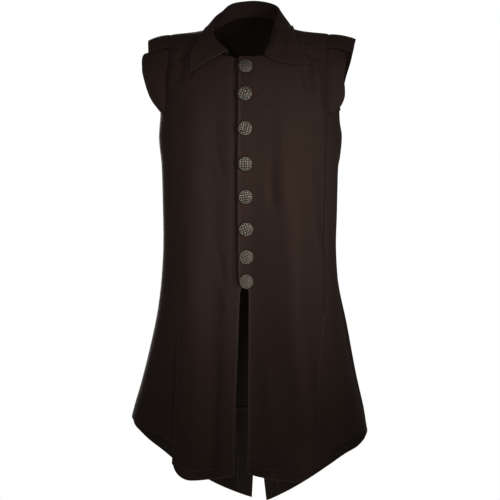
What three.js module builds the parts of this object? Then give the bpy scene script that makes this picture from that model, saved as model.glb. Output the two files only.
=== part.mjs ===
// Long sleeveless vest of historic cut, filled out as if worn, with nobody in it.
// Millimetres, +Z up. The front faces -Y and the wearer's left side is +X.
// The origin lies between the shoulders, level with the side of the neck.
import * as THREE from 'three';

// ---------------------------------------------------------------- driving dimensions

const CLOTH = 2.0; // wall of the garment cloth
const SEAM_GAP = 0.3; // room left between two sewn pieces
const UNDERARM = -166; // level of the underarm point
const SLIT_TOP = -562; // top of the side slits
const VENT_TOP = -771; // top of the centre-back vent
const SHOULDER_SEAM = -40; // level of the seam in front of the shoulder
const SQUARENESS = 2.6; // exponent of the body's cross-section, 2 is an ellipse
const SKIRT_SKEW = 0.018; // share by which the skirt hangs towards the wearer's right

const LEFT = 1;
const RIGHT = -1;

// The hollow body below the underarm: half width, depth to the front and to the back,
// and how far from the middle the two side seams run on the front.
const BODY = [
  { level: -1000, half: 268, front: 147, back: 153, seamLeft: 148, seamRight: 139 },
  { level: -860, half: 250, front: 138, back: 142, seamLeft: 148, seamRight: 138.5 },
  { level: -770, half: 232, front: 130, back: 134, seamLeft: 149, seamRight: 136 },
  { level: -700, half: 213, front: 124, back: 126, seamLeft: 150, seamRight: 134 },
  { level: -620, half: 195, front: 117, back: 116, seamLeft: 152, seamRight: 133 },
  { level: -560, half: 184, front: 112, back: 109, seamLeft: 154, seamRight: 133 },
  { level: -500, half: 177, front: 108, back: 103, seamLeft: 155, seamRight: 139 },
  { level: -430, half: 173, front: 105, back: 98, seamLeft: 156, seamRight: 149 },
  { level: -340, half: 174, front: 107, back: 97, seamLeft: 156, seamRight: 154 },
  { level: -270, half: 176, front: 110, back: 100, seamLeft: 157, seamRight: 156 },
  { level: -216, half: 181, front: 113, back: 104, seamLeft: 158, seamRight: 158 },
  { level: -166, half: 178, front: 113, back: 106, seamLeft: 162, seamRight: 162 },
  { level: -116, half: 181, front: 113, back: 104, seamLeft: 166, seamRight: 166 },
];

// Top line of the shoulder, by distance from the middle.
const SHOULDER = [
  { out: 0, top: 6 },
  { out: 75, top: 2 },
  { out: 106, top: -4.5 },
  { out: 156, top: -10 },
  { out: 186, top: -15 },
  { out: 220, top: -22 },
];

const NAPE_RISE = 200; // how far the back is drawn up towards the nape
const NAPE_REACH = 110; // half width of that rise

// Hem of the front, by distance from the middle, and of the back, by angle round the body.
const FRONT_HEM = [
  { out: -20, level: -869 },
  { out: 0, level: -869 },
  { out: 27, level: -876 },
  { out: 60, level: -881 },
  { out: 105, level: -885 },
  { out: 122, level: -880 },
  { out: 134, level: -870 },
  { out: 142, level: -855 },
  { out: 160, level: -800 },
];
const BACK_HEM = [
  { angle: 50, left: -852, right: -812 },
  { angle: 56, left: -833, right: -800 },
  { angle: 62, left: -815, right: -795 },
  { angle: 70, left: -806, right: -785 },
  { angle: 80, left: -797, right: -775 },
  { angle: 90, left: -799, right: -777 },
  { angle: 100, left: -809, right: -800 },
  { angle: 107, left: -829, right: -818 },
  { angle: 113, left: -846, right: -837 },
  { angle: 120, left: -862, right: -859 },
  { angle: 130, left: -890, right: -893 },
  { angle: 140, left: -916, right: -915 },
  { angle: 150, left: -936, right: -933 },
  { angle: 160, left: -950, right: -944 },
  { angle: 170, left: -962, right: -953 },
  { angle: 180, left: -970, right: -960 },
];

// Front edges, measured towards the piece's own side (negative reaches past the middle).
const OVER_EDGE = [
  { level: -1000, out: 7 },
  { level: -520, out: 6 },
  { level: -512, out: 4 },
  { level: -498, out: -10 },
  { level: -490, out: -12 },
  { level: 0, out: -12 },
];
const UNDER_EDGE = [
  { level: -1000, out: 18 },
  { level: -760, out: 17 },
  { level: -640, out: 14 },
  { level: -520, out: 10.5 },
  { level: -500, out: 6 },
  { level: -440, out: -10 },
  { level: -400, out: -12 },
  { level: 0, out: -12 },
];
// Half of the centre-back vent, for each side of the back.
const VENT_LEFT = 20.5;
const VENT_RIGHT = 10.5;
const VENT_HEM = -962;

// Neckline and armhole of the front, above the underarm, row by row.
// neck and arm are distances from the middle, levels are heights.
const FRONT_RISE = [
  { neck: null, neckLevel: -140, arm: 162, armLevel: -148 },
  { neck: null, neckLevel: -112, arm: 161, armLevel: -128 },
  { neck: null, neckLevel: -84, arm: 160, armLevel: -108 },
  { neck: null, neckLevel: -57, arm: 159, armLevel: -90 },
  { neck: 14, neckLevel: -57.5, arm: 158, armLevel: -74 },
  { neck: 36, neckLevel: -55, arm: 158, armLevel: -60 },
  { neck: 57, neckLevel: -50, arm: 158, armLevel: -50 },
  { neck: 72, neckLevel: SHOULDER_SEAM, arm: 158, armLevel: SHOULDER_SEAM },
];

// The back above the underarm, row by row: the angle climbed over the shoulder
// (90 is the ridge) at the neck side, and the place of the armhole side.
// armAngle is the angle round the body, used along the bottom of the armhole.
const BACK_RISE = [
  { neck: 0, neckClimb: 5.5, armAngle: 80, armClimb: 1.5 },
  { neck: 0, neckClimb: 12, armAngle: 96, armClimb: 3.5 },
  { neck: 0, neckClimb: 20, armAngle: 107, armClimb: 8.5 },
  { neck: 0, neckClimb: 28.5, arm: 166, armClimb: 16 },
  { neck: 0, neckClimb: 37, arm: 162.5, armClimb: 26 },
  { neck: 0, neckClimb: 46.5, arm: 160, armClimb: 39 },
  { neck: 35, neckClimb: 52, arm: 159, armClimb: 54 },
  { neck: 60, neckClimb: 66, arm: 158, armClimb: 68 },
  { neck: 74, neckClimb: 75, arm: 158, armClimb: 80 },
  { neck: 79, neckClimb: 90, arm: 158, armClimb: 90 },
  { neck: 78, neckClimb: 104, arm: 158, armClimb: 101 },
  { neck: 76, neckClimb: 117, arm: 158, armClimb: 112 },
];

const FRONT_CORNER = 142; // where the front's hem meets its slit edge
const SEWN_ROWS = 12; // rows from the underarm to the slit
const SKIRT_ROWS = 9; // rows from the slit to the hem
const FRONT_COLUMNS = 13;
const BACK_COLUMNS = 20;

// Largest folds: a soft trough (negative) or ridge from one place to another.
const FOLDS = [
  { face: 'front', fromX: 19, fromZ: -400, toX: 92, toZ: -790, width: 30, rise: -8 },
  { face: 'front', fromX: 79, fromZ: -520, toX: 134, toZ: -830, width: 28, rise: 7 },
  { face: 'front', fromX: 131, fromZ: -76, toX: 152, toZ: -170, width: 12, rise: 4 },
  { face: 'front', fromX: 118, fromZ: -72, toX: 132, toZ: -120, width: 11, rise: -5 },
  { face: 'front', fromX: 142, fromZ: -250, toX: 158, toZ: -440, width: 12, rise: -3 },
  { face: 'front', fromX: -30, fromZ: -560, toX: -36, toZ: -900, width: 17, rise: -6 },
  { face: 'front', fromX: -78, fromZ: -520, toX: -88, toZ: -880, width: 32, rise: 7 },
  { face: 'front', fromX: -128, fromZ: -600, toX: -134, toZ: -830, width: 18, rise: -5 },
  { face: 'front', fromX: -122, fromZ: -52, toX: -130, toZ: -104, width: 11, rise: -4 },
  { face: 'back', fromX: 50, fromZ: -430, toX: 84, toZ: -900, width: 30, rise: 9 },
  { face: 'back', fromX: 110, fromZ: -470, toX: 140, toZ: -860, width: 26, rise: -9 },
  { face: 'back', fromX: -46, fromZ: -450, toX: -76, toZ: -900, width: 30, rise: 9 },
  { face: 'back', fromX: -104, fromZ: -440, toX: -142, toZ: -860, width: 28, rise: -9 },
  { face: 'back', fromX: 176, fromZ: -520, toX: 206, toZ: -800, width: 24, rise: 7 },
  { face: 'back', fromX: -176, fromZ: -520, toX: -206, toZ: -790, width: 24, rise: 7 },
];
const SLIT_SINK = 4.5; // how far the back's slit edge lies behind the front's
const SLIT_GAPE = 2.6; // how far the front's slit edge draws back from the seam line

// Collar, station by station from the front end round to the nape. The seam follows the
// neckline. fold is the top of the stand, edge is the outer edge of the turned-down leaf.
const COLLAR_SEAM = [
  { neck: 36, level: -55 },
  { neck: 57, level: -50 },
  { neck: 72, level: SHOULDER_SEAM },
  { neck: 76, climb: 61 },
  { neck: 78, climb: 76 },
  { neck: 79, climb: 90 },
  { neck: 74, climb: 105 },
  { neck: 60, climb: 114 },
  { neck: 35, climb: 128 },
  { neck: 0, climb: 133.5 },
];
const COLLAR_RIGHT = [
  { fold: [-35, -88, -46], edge: [-108, -92, -88] },
  { fold: [-55, -68, -30], edge: [-107, -78, -50] },
  { fold: [-68, -48, -14], edge: [-99, -58, -27] },
  { fold: [-73, -26, -1], edge: [-89, -38, -10] },
  { fold: [-71, -6, 12], edge: [-83, -18, -1] },
  { fold: [-67, 14, 24], edge: [-79, 10, 0] },
  { fold: [-55, 36, 37], edge: [-73, 46, -2] },
  { fold: [-48, 54, 46.5], edge: [-62, 72, 0] },
  { fold: [-36, 68, 53], edge: [-44, 86, 8] },
  { fold: [0, 78, 57.5], edge: [0, 93, 12] },
];
const COLLAR_LEFT = [
  { fold: [37, -88, -48], edge: [127, -80, -72] },
  { fold: [43, -68, -38], edge: [113, -72, -54] },
  { fold: [46, -48, -20], edge: [100, -62, -36] },
  { fold: [48, -28, -2], edge: [94, -42, -14] },
  { fold: [51, -8, 13], edge: [89, -22, -4] },
  { fold: [54, 12, 26], edge: [84, 6, 0] },
  { fold: [53, 34, 37], edge: [77, 46, -2] },
  { fold: [46, 54, 46.5], edge: [63, 72, 0] },
  { fold: [30, 68, 53], edge: [42, 86, 8] },
  { fold: [0, 78, 57.5], edge: [0, 93, 12] },
];
const COLLAR_STEPS = 36; // steps round the neck
const STAND_OFFSET = 1.6; // from the neckline to the middle of the stand
const FOLD_RADIUS = 2.8;
const COLLAR_CLEARANCE = 4; // least distance of the leaf from the shoulder

// Wing caps: how far they stand out, from the shoulder (0) to the underarm (1).
const FRONT_WING = [
  { down: 0, reach: 48, drop: 9 },
  { down: 0.12, reach: 52, drop: 7 },
  { down: 0.32, reach: 52, drop: 4 },
  { down: 0.5, reach: 48, drop: 3 },
  { down: 0.75, reach: 32, drop: 3 },
  { down: 0.92, reach: 12, drop: 3 },
  { down: 1, reach: 4, drop: 3 },
];
const BACK_WING = [
  { down: 0, reach: 46, drop: 11 },
  { down: 0.2, reach: 50, drop: 11 },
  { down: 0.5, reach: 47, drop: 7 },
  { down: 0.67, reach: 38, drop: 4 },
  { down: 0.78, reach: 26, drop: 3 },
  { down: 0.92, reach: 9, drop: 2 },
  { down: 1, reach: 4, drop: 2 },
];
const FRONT_WING_SPREAD = { [RIGHT]: 1.04, [LEFT]: 0.78 };
const BACK_WING_SPREAD = { [RIGHT]: 0.88, [LEFT]: 1.04 };
const WING_ROOT = 1.5; // from the armhole edge to the wing's first row
const WING_COLUMNS = 5;
const WING_HEEL = 0.035; // share of the armhole left free at the underarm
const WING_TOP = 0.012; // share of it left free at the shoulder seam

// Buttons.
const BUTTON_RADIUS = 14.2;
const BUTTON_LEVELS = [-80.5, -131, -197, -265.5, -330, -394, -448.5, -497];
const BUTTON_X = 1;
const BUTTON_SEGMENTS = 14;

// Vent facings.
const FACING_WIDTH = 30;
const FACING_CLOTH = 1.2;
const FACING_LEVELS = 6;
const FACING_SHORT = 12; // how far above the hem the facings end

// ---------------------------------------------------------------- small helpers

const rad = THREE.MathUtils.degToRad;
const deg = THREE.MathUtils.radToDeg;
const lerp = THREE.MathUtils.lerp;

function smoothStep(from, to, value) {
  const t = THREE.MathUtils.clamp((value - from) / (to - from), 0, 1);
  return t * t * (3 - 2 * t);
}

// Smooth curve through a table's rows: value of one column at a place in another.
function along(table, place, column, at) {
  const last = table.length - 1;
  if (at <= table[0][place]) return table[0][column];
  if (at >= table[last][place]) return table[last][column];
  let i = 0;
  while (table[i + 1][place] < at) i += 1;
  const slope = (k) => {
    const a = table[Math.max(k - 1, 0)];
    const b = table[Math.min(k + 1, last)];
    return (b[column] - a[column]) / (b[place] - a[place]);
  };
  const span = table[i + 1][place] - table[i][place];
  const t = (at - table[i][place]) / span;
  const start = table[i][column] * (1 + 2 * t) * (1 - t) * (1 - t);
  const end = table[i + 1][column] * (3 - 2 * t) * t * t;
  const leaving = slope(i) * span * t * (1 - t) * (1 - t);
  const arriving = slope(i + 1) * span * t * t * (t - 1);
  return start + end + leaving + arriving;
}

// ---------------------------------------------------------------- the hollow form
// A place on the form is an angle round the body (0 front, 180 back, in radians) and a
// climb: below the underarm it is millimetres (negative), above it degrees over the
// shoulder, 90 at the ridge.

function sectionAt(climb) {
  const level = UNDERARM + Math.min(climb, 0);
  return {
    half: along(BODY, 'level', 'half', level),
    front: along(BODY, 'level', 'front', level),
    back: along(BODY, 'level', 'back', level),
  };
}

function depthAt(section, x, depth) {
  const share = Math.min(Math.abs(x) / section.half, 1);
  return depth * Math.pow(1 - Math.pow(share, SQUARENESS), 1 / SQUARENESS);
}

function shoulderTop(x) {
  return along(SHOULDER, 'out', 'top', Math.abs(x));
}

function formPoint(side, angle, climb) {
  const section = sectionAt(climb);
  const sin = Math.sin(angle);
  const cos = Math.cos(angle);
  const depth = cos > 0 ? section.front : section.back;
  const sum = Math.pow(Math.abs(sin) / section.half, SQUARENESS)
    + Math.pow(Math.abs(cos) / depth, SQUARENESS);
  const reach = Math.pow(sum, -1 / SQUARENESS);
  const y = -reach * cos;
  if (climb <= 0) {
    const skew = side * SKIRT_SKEW * smoothStep(-500, -760, UNDERARM + climb);
    return new THREE.Vector3(side * reach * sin * (1 - skew), y, UNDERARM + climb);
  }
  const x = reach * sin;

  const over = Math.cos(rad(climb));
  const nape = cos < 0 && over > 0 && Math.abs(x) < NAPE_REACH
    ? NAPE_RISE * Math.pow(1 - (x / NAPE_REACH) ** 2, 2) * over * over
    : 0;
  const rise = shoulderTop(x) - UNDERARM + nape;
  const farDepth = depthAt(section, x, cos > 0 ? section.back : section.front);
  const farY = -Math.sign(y) * farDepth * Math.abs(over);
  return new THREE.Vector3(
    side * x,
    over > 0 ? y * over : farY,
    UNDERARM + rise * Math.sin(rad(climb)),
  );
}


// How far the folds push the cloth out at a point of the form.
function foldRise(point) {
  let rise = 0;
  for (const fold of FOLDS) {
    const facing = fold.face === 'front' ? -point.y : point.y;
    const from = new THREE.Vector2(fold.fromX, fold.fromZ);
    const run = new THREE.Vector2(fold.toX, fold.toZ).sub(from);
    const here = new THREE.Vector2(point.x, point.z).sub(from);
    const t = here.dot(run) / run.lengthSq();
    if (facing < 5 || t < -0.2 || t > 1.2) continue;
    const distance = Math.abs(here.cross(run)) / run.length();
    const ends = smoothStep(-0.2, 0.25, t) * (1 - smoothStep(0.85, 1.2, t));
    const bell = Math.exp(-((distance / fold.width) ** 2));
    rise += fold.rise * ends * bell * smoothStep(5, 40, facing);
  }
  return rise;
}

function normalOf(pointAt, angle, climb) {
  const turn = 0.004;
  const step = 0.5;
  const round = pointAt(angle + turn, climb).sub(pointAt(angle - turn, climb));
  const up = pointAt(angle, climb + step).sub(pointAt(angle, climb - step));
  const here = pointAt(angle, climb);
  const normal = round.cross(up).normalize();
  const outward = new THREE.Vector3(here.x, here.y, 30);
  return normal.dot(outward) < 0 ? normal.negate() : normal;
}

function clothPoint(side, angle, climb) {
  const base = (a, c) => formPoint(side, a, c);
  const point = base(angle, climb);
  return point.addScaledVector(normalOf(base, angle, climb), foldRise(point));
}

// Angle round the body at a distance from the middle.
function angleAt(x, climb, onBack = false) {
  const section = sectionAt(climb);
  const depth = depthAt(section, x, onBack ? section.back : section.front);
  const angle = Math.atan2(x, depth);
  return onBack ? Math.PI - angle : angle;
}

// Climb above the underarm that reaches a level on the front at a distance x.
function climbTo(level, x) {
  return deg(Math.asin((level - UNDERARM) / (shoulderTop(x) - UNDERARM)));
}

// ---------------------------------------------------------------- walls of cloth

function closedSheet(outer, inner) {
  const rows = outer.length;
  const columns = outer[0].length;
  const points = [...outer.flat(), ...inner.flat()];
  const count = rows * columns;
  const faces = [];
  const quad = (a, b, c, d) => faces.push(a, b, c, a, c, d);
  const at = (i, j) => i * columns + j;
  for (let i = 0; i + 1 < rows; i += 1) {
    for (let j = 0; j + 1 < columns; j += 1) {
      const corners = [at(i, j), at(i, j + 1), at(i + 1, j + 1), at(i + 1, j)];
      quad(...corners);
      const [a, b, c, d] = corners.map((k) => k + count);
      faces.push(a, c, b, a, d, c);
    }
  }
  const rim = [];
  for (let j = 0; j < columns - 1; j += 1) rim.push(at(0, j));
  for (let i = 0; i < rows - 1; i += 1) rim.push(at(i, columns - 1));
  for (let j = columns - 1; j > 0; j -= 1) rim.push(at(rows - 1, j));
  for (let i = rows - 1; i > 0; i -= 1) rim.push(at(i, 0));
  rim.forEach((here, k) => {
    const next = rim[(k + 1) % rim.length];
    quad(next, here, here + count, next + count);
  });

  let volume = 0;
  for (let k = 0; k < faces.length; k += 3) {
    const [a, b, c] = [points[faces[k]], points[faces[k + 1]], points[faces[k + 2]]];
    volume += a.dot(b.clone().cross(c));
  }
  if (volume < 0) faces.reverse();
  const geometry = new THREE.BufferGeometry().setFromPoints(points);
  geometry.setIndex(faces);
  geometry.computeVertexNormals();
  return geometry;
}

// Wall on the form: grid holds {angle, climb, lift} places, lift raises the outer face.
function panel(side, grid, thickness = CLOTH) {
  const surface = (a, c) => clothPoint(side, a, c);
  const outer = [];
  const inner = [];
  for (const row of grid) {
    const places = row.map(({ angle, climb, lift }) => {
      const normal = normalOf(surface, angle, climb);
      const top = surface(angle, climb).addScaledVector(normal, lift);
      return [top, top.clone().addScaledVector(normal, -thickness)];
    });
    outer.push(places.map((place) => place[0]));
    inner.push(places.map((place) => place[1]));
  }
  return closedSheet(outer, inner);
}

// Wall on a free grid of points, half of its thickness to each side.
function freeSheet(middle, thickness = CLOTH) {
  const rows = middle.length;
  const columns = middle[0].length;
  const shift = (i, j, share) => {
    const row = middle[i];
    const along1 = row[Math.min(j + 1, columns - 1)].clone().sub(row[Math.max(j - 1, 0)]);
    const up = middle[Math.min(i + 1, rows - 1)][j].clone().sub(middle[Math.max(i - 1, 0)][j]);
    const normal = along1.cross(up).normalize();
    return row[j].clone().addScaledVector(normal, share * thickness);
  };
  const face = (share) => middle.map((row, i) => row.map((_, j) => shift(i, j, share)));
  return closedSheet(face(0.5), face(-0.5));
}

// ---------------------------------------------------------------- fronts

const SEAM_TURN = (SEAM_GAP / 2) / 150; // half of a seam gap as an angle round the body

// Levels of the rows from the underarm down; below the slit they spread towards the hem.
function skirtClimb(row, hemLevel) {
  if (row <= SEWN_ROWS) return ((SLIT_TOP - UNDERARM) * row) / SEWN_ROWS;
  const share = (row - SEWN_ROWS) / SKIRT_ROWS;
  return lerp(SLIT_TOP, hemLevel, share) - UNDERARM;
}

// Distance of the side seam from the middle.
function seamOut(side, level) {
  return along(BODY, 'level', side === LEFT ? 'seamLeft' : 'seamRight', level);
}

// The left front lies on the right one, so it is raised near the middle.
function overlapLift(side, x) {
  return side === LEFT ? (CLOTH + SEAM_GAP) * (1 - smoothStep(18, 60, x)) : 0;
}

function frontGrid(side) {
  const edge = side === LEFT ? OVER_EDGE : UNDER_EDGE;
  const place = (angle, climb) => {
    const x = side * formPoint(side, angle, climb).x;
    return { angle, climb, lift: overlapLift(side, x) };
  };
  const grid = [];
  for (let row = SEWN_ROWS + SKIRT_ROWS; row >= 0; row -= 1) {
    const level = UNDERARM + skirtClimb(row, FRONT_HEM[4].level);
    const seamClimb = skirtClimb(row, along(FRONT_HEM, 'out', 'level', FRONT_CORNER));
    const slit = Math.max(0, (row - SEWN_ROWS) / SKIRT_ROWS);
    const seam = seamOut(side, UNDERARM + seamClimb) - SLIT_GAPE * Math.min(1, slit * 5);
    const from = angleAt(along(edge, 'level', 'out', level), level - UNDERARM);
    const to = angleAt(seam, seamClimb) - SEAM_TURN;
    const places = [];
    for (let j = 0; j <= FRONT_COLUMNS; j += 1) {
      const angle = lerp(from, to, j / FRONT_COLUMNS);
      const out = side * formPoint(side, angle, level - UNDERARM).x;
      const climb = skirtClimb(row, along(FRONT_HEM, 'out', 'level', Math.min(out, FRONT_CORNER)));
      places.push(place(angle, climb));
    }
    grid.push(places);
  }
  for (const rise of FRONT_RISE) {
    const neck = rise.neck ?? along(edge, 'level', 'out', rise.neckLevel);
    const from = angleAt(neck, 0);
    const to = angleAt(rise.arm, 0);
    const last = rise === FRONT_RISE[FRONT_RISE.length - 1];
    const trim = last ? deg(SEAM_TURN) : 0;
    const places = [];
    for (let j = 0; j <= FRONT_COLUMNS; j += 1) {
      const t = j / FRONT_COLUMNS;
      const climb = lerp(climbTo(rise.neckLevel, neck), climbTo(rise.armLevel, rise.arm), t);
      places.push(place(lerp(from, to, t), climb - trim));
    }
    grid.push(places);
  }
  return grid;
}

// ---------------------------------------------------------------- backs

function backHem(side, angle) {
  return along(BACK_HEM, 'angle', side === LEFT ? 'left' : 'right', deg(angle));
}

function ventHalf(side, level) {
  const wide = side === LEFT ? VENT_LEFT : VENT_RIGHT;
  return wide * Math.max(0, (VENT_TOP - level) / (VENT_TOP - VENT_HEM));
}

function backGrid(side) {
  const grid = [];
  for (let row = SEWN_ROWS + SKIRT_ROWS; row >= 0; row -= 1) {
    const seamClimb = skirtClimb(row, backHem(side, rad(BACK_HEM[0].angle)));
    const seam = seamOut(side, UNDERARM + seamClimb);
    const from = angleAt(seam, seamClimb) + SEAM_TURN;
    const ventClimb = skirtClimb(row, VENT_HEM);
    const vent = ventHalf(side, UNDERARM + ventClimb);
    const to = angleAt(vent, ventClimb, true) - SEAM_TURN * 1.5;
    const slit = Math.max(0, (row - SEWN_ROWS) / SKIRT_ROWS);
    const places = [];
    for (let j = 0; j <= BACK_COLUMNS; j += 1) {
      const angle = lerp(from, to, j / BACK_COLUMNS);
      const nearSlit = 1 - smoothStep(0, 0.2, j / BACK_COLUMNS);
      const sink = slit > 0 ? SLIT_SINK * Math.min(1, slit * 2) * nearSlit : 0;
      places.push({ angle, climb: skirtClimb(row, backHem(side, angle)), lift: -sink });
    }
    grid.push(places);
  }
  const seamEnd = FRONT_RISE[FRONT_RISE.length - 1];
  const rows = BACK_RISE.map((rise) => ({
    from: rise.arm === undefined ? rad(rise.armAngle) : angleAt(rise.arm, 0, true),
    fromClimb: rise.armClimb,
    to: angleAt(rise.neck, 0, true) - (rise.neck === 0 ? SEAM_TURN * 1.5 : 0),
    toClimb: rise.neckClimb,
  }));
  rows.push({
    from: angleAt(seamEnd.arm, 0, true),
    fromClimb: 180 - climbTo(seamEnd.armLevel, seamEnd.arm) - deg(SEAM_TURN),
    to: angleAt(seamEnd.neck, 0, true),
    toClimb: 180 - climbTo(seamEnd.neckLevel, seamEnd.neck) - deg(SEAM_TURN),
  });
  for (const row of rows) {
    const places = [];
    for (let j = 0; j <= BACK_COLUMNS; j += 1) {
      const t = j / BACK_COLUMNS;
      const climb = lerp(row.fromClimb, row.toClimb, t);
      places.push({ angle: lerp(row.from, row.to, t), climb, lift: 0 });
    }
    grid.push(places);
  }
  return grid;
}

// ---------------------------------------------------------------- collar

// The front's and the back's half of the arch meet at the ridge, so one climb serves both.
function neckPlace(station) {
  const climb = station.climb ?? climbTo(station.level, station.neck);
  return climb <= 90
    ? { angle: angleAt(station.neck, 0), climb }
    : { angle: angleAt(station.neck, 0, true), climb: 180 - climb };
}

function collarStations(side, table) {
  const places = COLLAR_SEAM.map(neckPlace);
  const surface = (a, c) => clothPoint(side, a, c);
  const seams = places.map(({ angle, climb }) => surface(angle, climb));
  return seams.map((seam, k) => {
    const before = seams[Math.max(k - 1, 0)];
    const after = k + 1 < seams.length
      ? seams[k + 1]
      : seams[k - 1].clone().multiply(new THREE.Vector3(-1, 1, 1));
    const tangent = after.clone().sub(before).normalize();
    const normal = normalOf(surface, places[k].angle, places[k].climb);
    const inward = normal.clone().cross(tangent).normalize();
    const middle = new THREE.Vector3(0, -5, seam.z + 40).sub(seam);
    if (inward.dot(middle) < 0) inward.negate();
    const raise = overlapLift(side, COLLAR_SEAM[k].neck) * (k < 3 ? 1 : 0) - CLOTH / 2;
    return {
      seam: seam.clone().addScaledVector(normal, raise).addScaledVector(inward, STAND_OFFSET),
      fold: new THREE.Vector3(...table[k].fold),
      edge: new THREE.Vector3(...table[k].edge),
    };
  });
}

// Push a point of the leaf out of the shoulder's arch.
function clearOfShoulder(point, clearance) {
  const section = sectionAt(0);
  const depth = depthAt(section, point.x, point.y < 0 ? section.front : section.back);
  const rise = shoulderTop(point.x) - UNDERARM;
  const share = Math.hypot(point.y / depth, (point.z - UNDERARM) / rise);
  const least = 1 + clearance / 120;
  if (share >= least) return point;
  const grow = least / share;
  return new THREE.Vector3(point.x, point.y * grow, UNDERARM + (point.z - UNDERARM) * grow);
}

function collar() {
  const right = collarStations(RIGHT, COLLAR_RIGHT);
  const left = collarStations(LEFT, COLLAR_LEFT).slice(0, -1).reverse();
  const stations = [...right, ...left];
  const line = (key) => new THREE.CatmullRomCurve3(stations.map((s) => s[key]));
  const lines = { fold: line('fold'), edge: line('edge') };
  const spans = stations.length - 1;
  const seamAt = (t) => {
    const k = Math.min(Math.floor(t * spans), spans - 1);
    return stations[k].seam.clone().lerp(stations[k + 1].seam, t * spans - k);
  };
  const rows = [];
  for (let i = 0; i <= COLLAR_STEPS; i += 1) {
    const t = i / COLLAR_STEPS;
    const seam = seamAt(t);
    const fold = lines.fold.getPoint(t);
    const edge = lines.edge.getPoint(t);
    const up = fold.clone().sub(seam).normalize();
    const out = new THREE.Vector3(fold.x, fold.y + 5, 0).normalize();
    const round = [];
    for (const turn of [0, 60, 120, 180]) {
      const along1 = FOLD_RADIUS * (1 - Math.cos(rad(turn)));
      const above = FOLD_RADIUS * Math.sin(rad(turn));
      round.push(fold.clone().addScaledVector(out, along1).addScaledVector(up, above));
    }
    const lip = round[3];
    const leaf = [0.2, 0.45, 0.72, 1].map((share) => {
      const point = lip.clone().lerp(edge, share);
      const bulge = 4 * Math.sin(Math.PI * share);
      point.addScaledVector(out, bulge);
      return clearOfShoulder(point, COLLAR_CLEARANCE);
    });
    rows.push([seam, seam.clone().lerp(fold, 0.5), ...round, ...leaf]);
  }
  return freeSheet(rows);
}

// ---------------------------------------------------------------- wing caps

function wing(side, edgePlaces, table, spread, lean) {
  const root = edgePlaces.map(({ angle, climb }) => {
    const surface = (a, c) => clothPoint(side, a, c);
    const normal = normalOf(surface, angle, climb);
    return surface(angle, climb).addScaledVector(normal, -CLOTH / 2);
  });
  const curve = new THREE.CatmullRomCurve3(root);
  const steps = root.length + 3;
  const rows = [];
  for (let i = 0; i <= steps; i += 1) {
    const down = lerp(WING_TOP, 1 - WING_HEEL, i / steps);
    const start = curve.getPoint(down);
    const reach = along(table, 'down', 'reach', down) * spread;
    const drop = along(table, 'down', 'drop', down);
    const row = [];
    for (let j = 0; j <= WING_COLUMNS; j += 1) {
      const share = j / WING_COLUMNS;
      const out = WING_ROOT + (reach - WING_ROOT) * share;
      const bend = share * share;
      row.push(start.clone().add(new THREE.Vector3(side * out, lean * bend, -drop * bend)));
    }
    rows.push(row);
  }
  return freeSheet(rows);
}

// ---------------------------------------------------------------- facings and buttons

function ventFacing(side) {
  const rows = [];
  const bottom = backHem(side, Math.PI) + FACING_SHORT;
  for (let i = 0; i <= FACING_LEVELS; i += 1) {
    const level = lerp(bottom, VENT_TOP, i / FACING_LEVELS);
    const inner = ventHalf(side, level) + 0.6;
    const row = [];
    for (let j = 0; j <= 2; j += 1) {
      const out = inner + (FACING_WIDTH * j) / 2;
      const climb = level - UNDERARM + (i === 0 ? 6 * j : 0);
      row.push({ angle: angleAt(out, climb, true), climb, lift: -(CLOTH + SEAM_GAP) });
    }
    rows.push(row);
  }
  return panel(side, rows, FACING_CLOTH);
}

function buttonGeometry() {
  const r = BUTTON_RADIUS;
  const profile = [
    [0, 0], [3.4, 0], [3.4, 2.2], [r - 1.2, 2.2], [r, 3.6], [r - 1.2, 4.9], [r - 2.9, 4.5],
    [r * 0.45, 6.9], [0, 7.5],
  ].map(([x, y]) => new THREE.Vector2(x, y));
  return new THREE.LatheGeometry(profile, BUTTON_SEGMENTS);
}

// ---------------------------------------------------------------- materials and assembly

const brown = new THREE.Color().setRGB(0.19, 0.14, 0.115, THREE.SRGBColorSpace);
const pewter = new THREE.Color().setRGB(0.36, 0.33, 0.29, THREE.SRGBColorSpace);

const vest = new THREE.Group();

function addPiece(name, geometry, color, roughness, metalness) {
  const material = new THREE.MeshStandardMaterial({ color, roughness, metalness });
  const mesh = new THREE.Mesh(geometry, material);
  mesh.name = name;
  vest.add(mesh);
  return mesh;
}

const addCloth = (name, geometry) => addPiece(name, geometry, brown, 0.85, 0);

for (const [side, name] of [[LEFT, 'left'], [RIGHT, 'right']]) {
  const front = frontGrid(side);
  const back = backGrid(side);
  addCloth(`${name}_front`, panel(side, front));
  addCloth(`back_${name}`, panel(side, back));

  const lower = SEWN_ROWS + SKIRT_ROWS;
  const frontEdge = front.slice(lower).map((row) => row[FRONT_COLUMNS]).reverse();
  const backEdge = back.slice(lower + 3).map((row) => row[0]).reverse();
  addCloth(`wing_front_${name}`, wing(side, frontEdge, FRONT_WING, FRONT_WING_SPREAD[side], 10));
  addCloth(`wing_back_${name}`, wing(side, backEdge, BACK_WING, BACK_WING_SPREAD[side], -6));
  addCloth(`vent_facing_${name}`, ventFacing(side));
}
addCloth('collar', collar());

const button = buttonGeometry();
BUTTON_LEVELS.forEach((level, index) => {
  const climb = level > UNDERARM ? climbTo(level, BUTTON_X) : level - UNDERARM;
  const surface = (a, c) => clothPoint(LEFT, a, c);
  const angle = angleAt(BUTTON_X, Math.min(climb, 0));
  const normal = normalOf(surface, angle, climb);
  const lift = CLOTH + 3 * SEAM_GAP;
  const mesh = addPiece(`button_${index + 1}`, button, pewter, 0.45, 0.9);
  mesh.position.copy(surface(angle, climb).addScaledVector(normal, lift));
  mesh.quaternion.setFromUnitVectors(new THREE.Vector3(0, 1, 0), normal);
});

export default vest;
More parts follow.
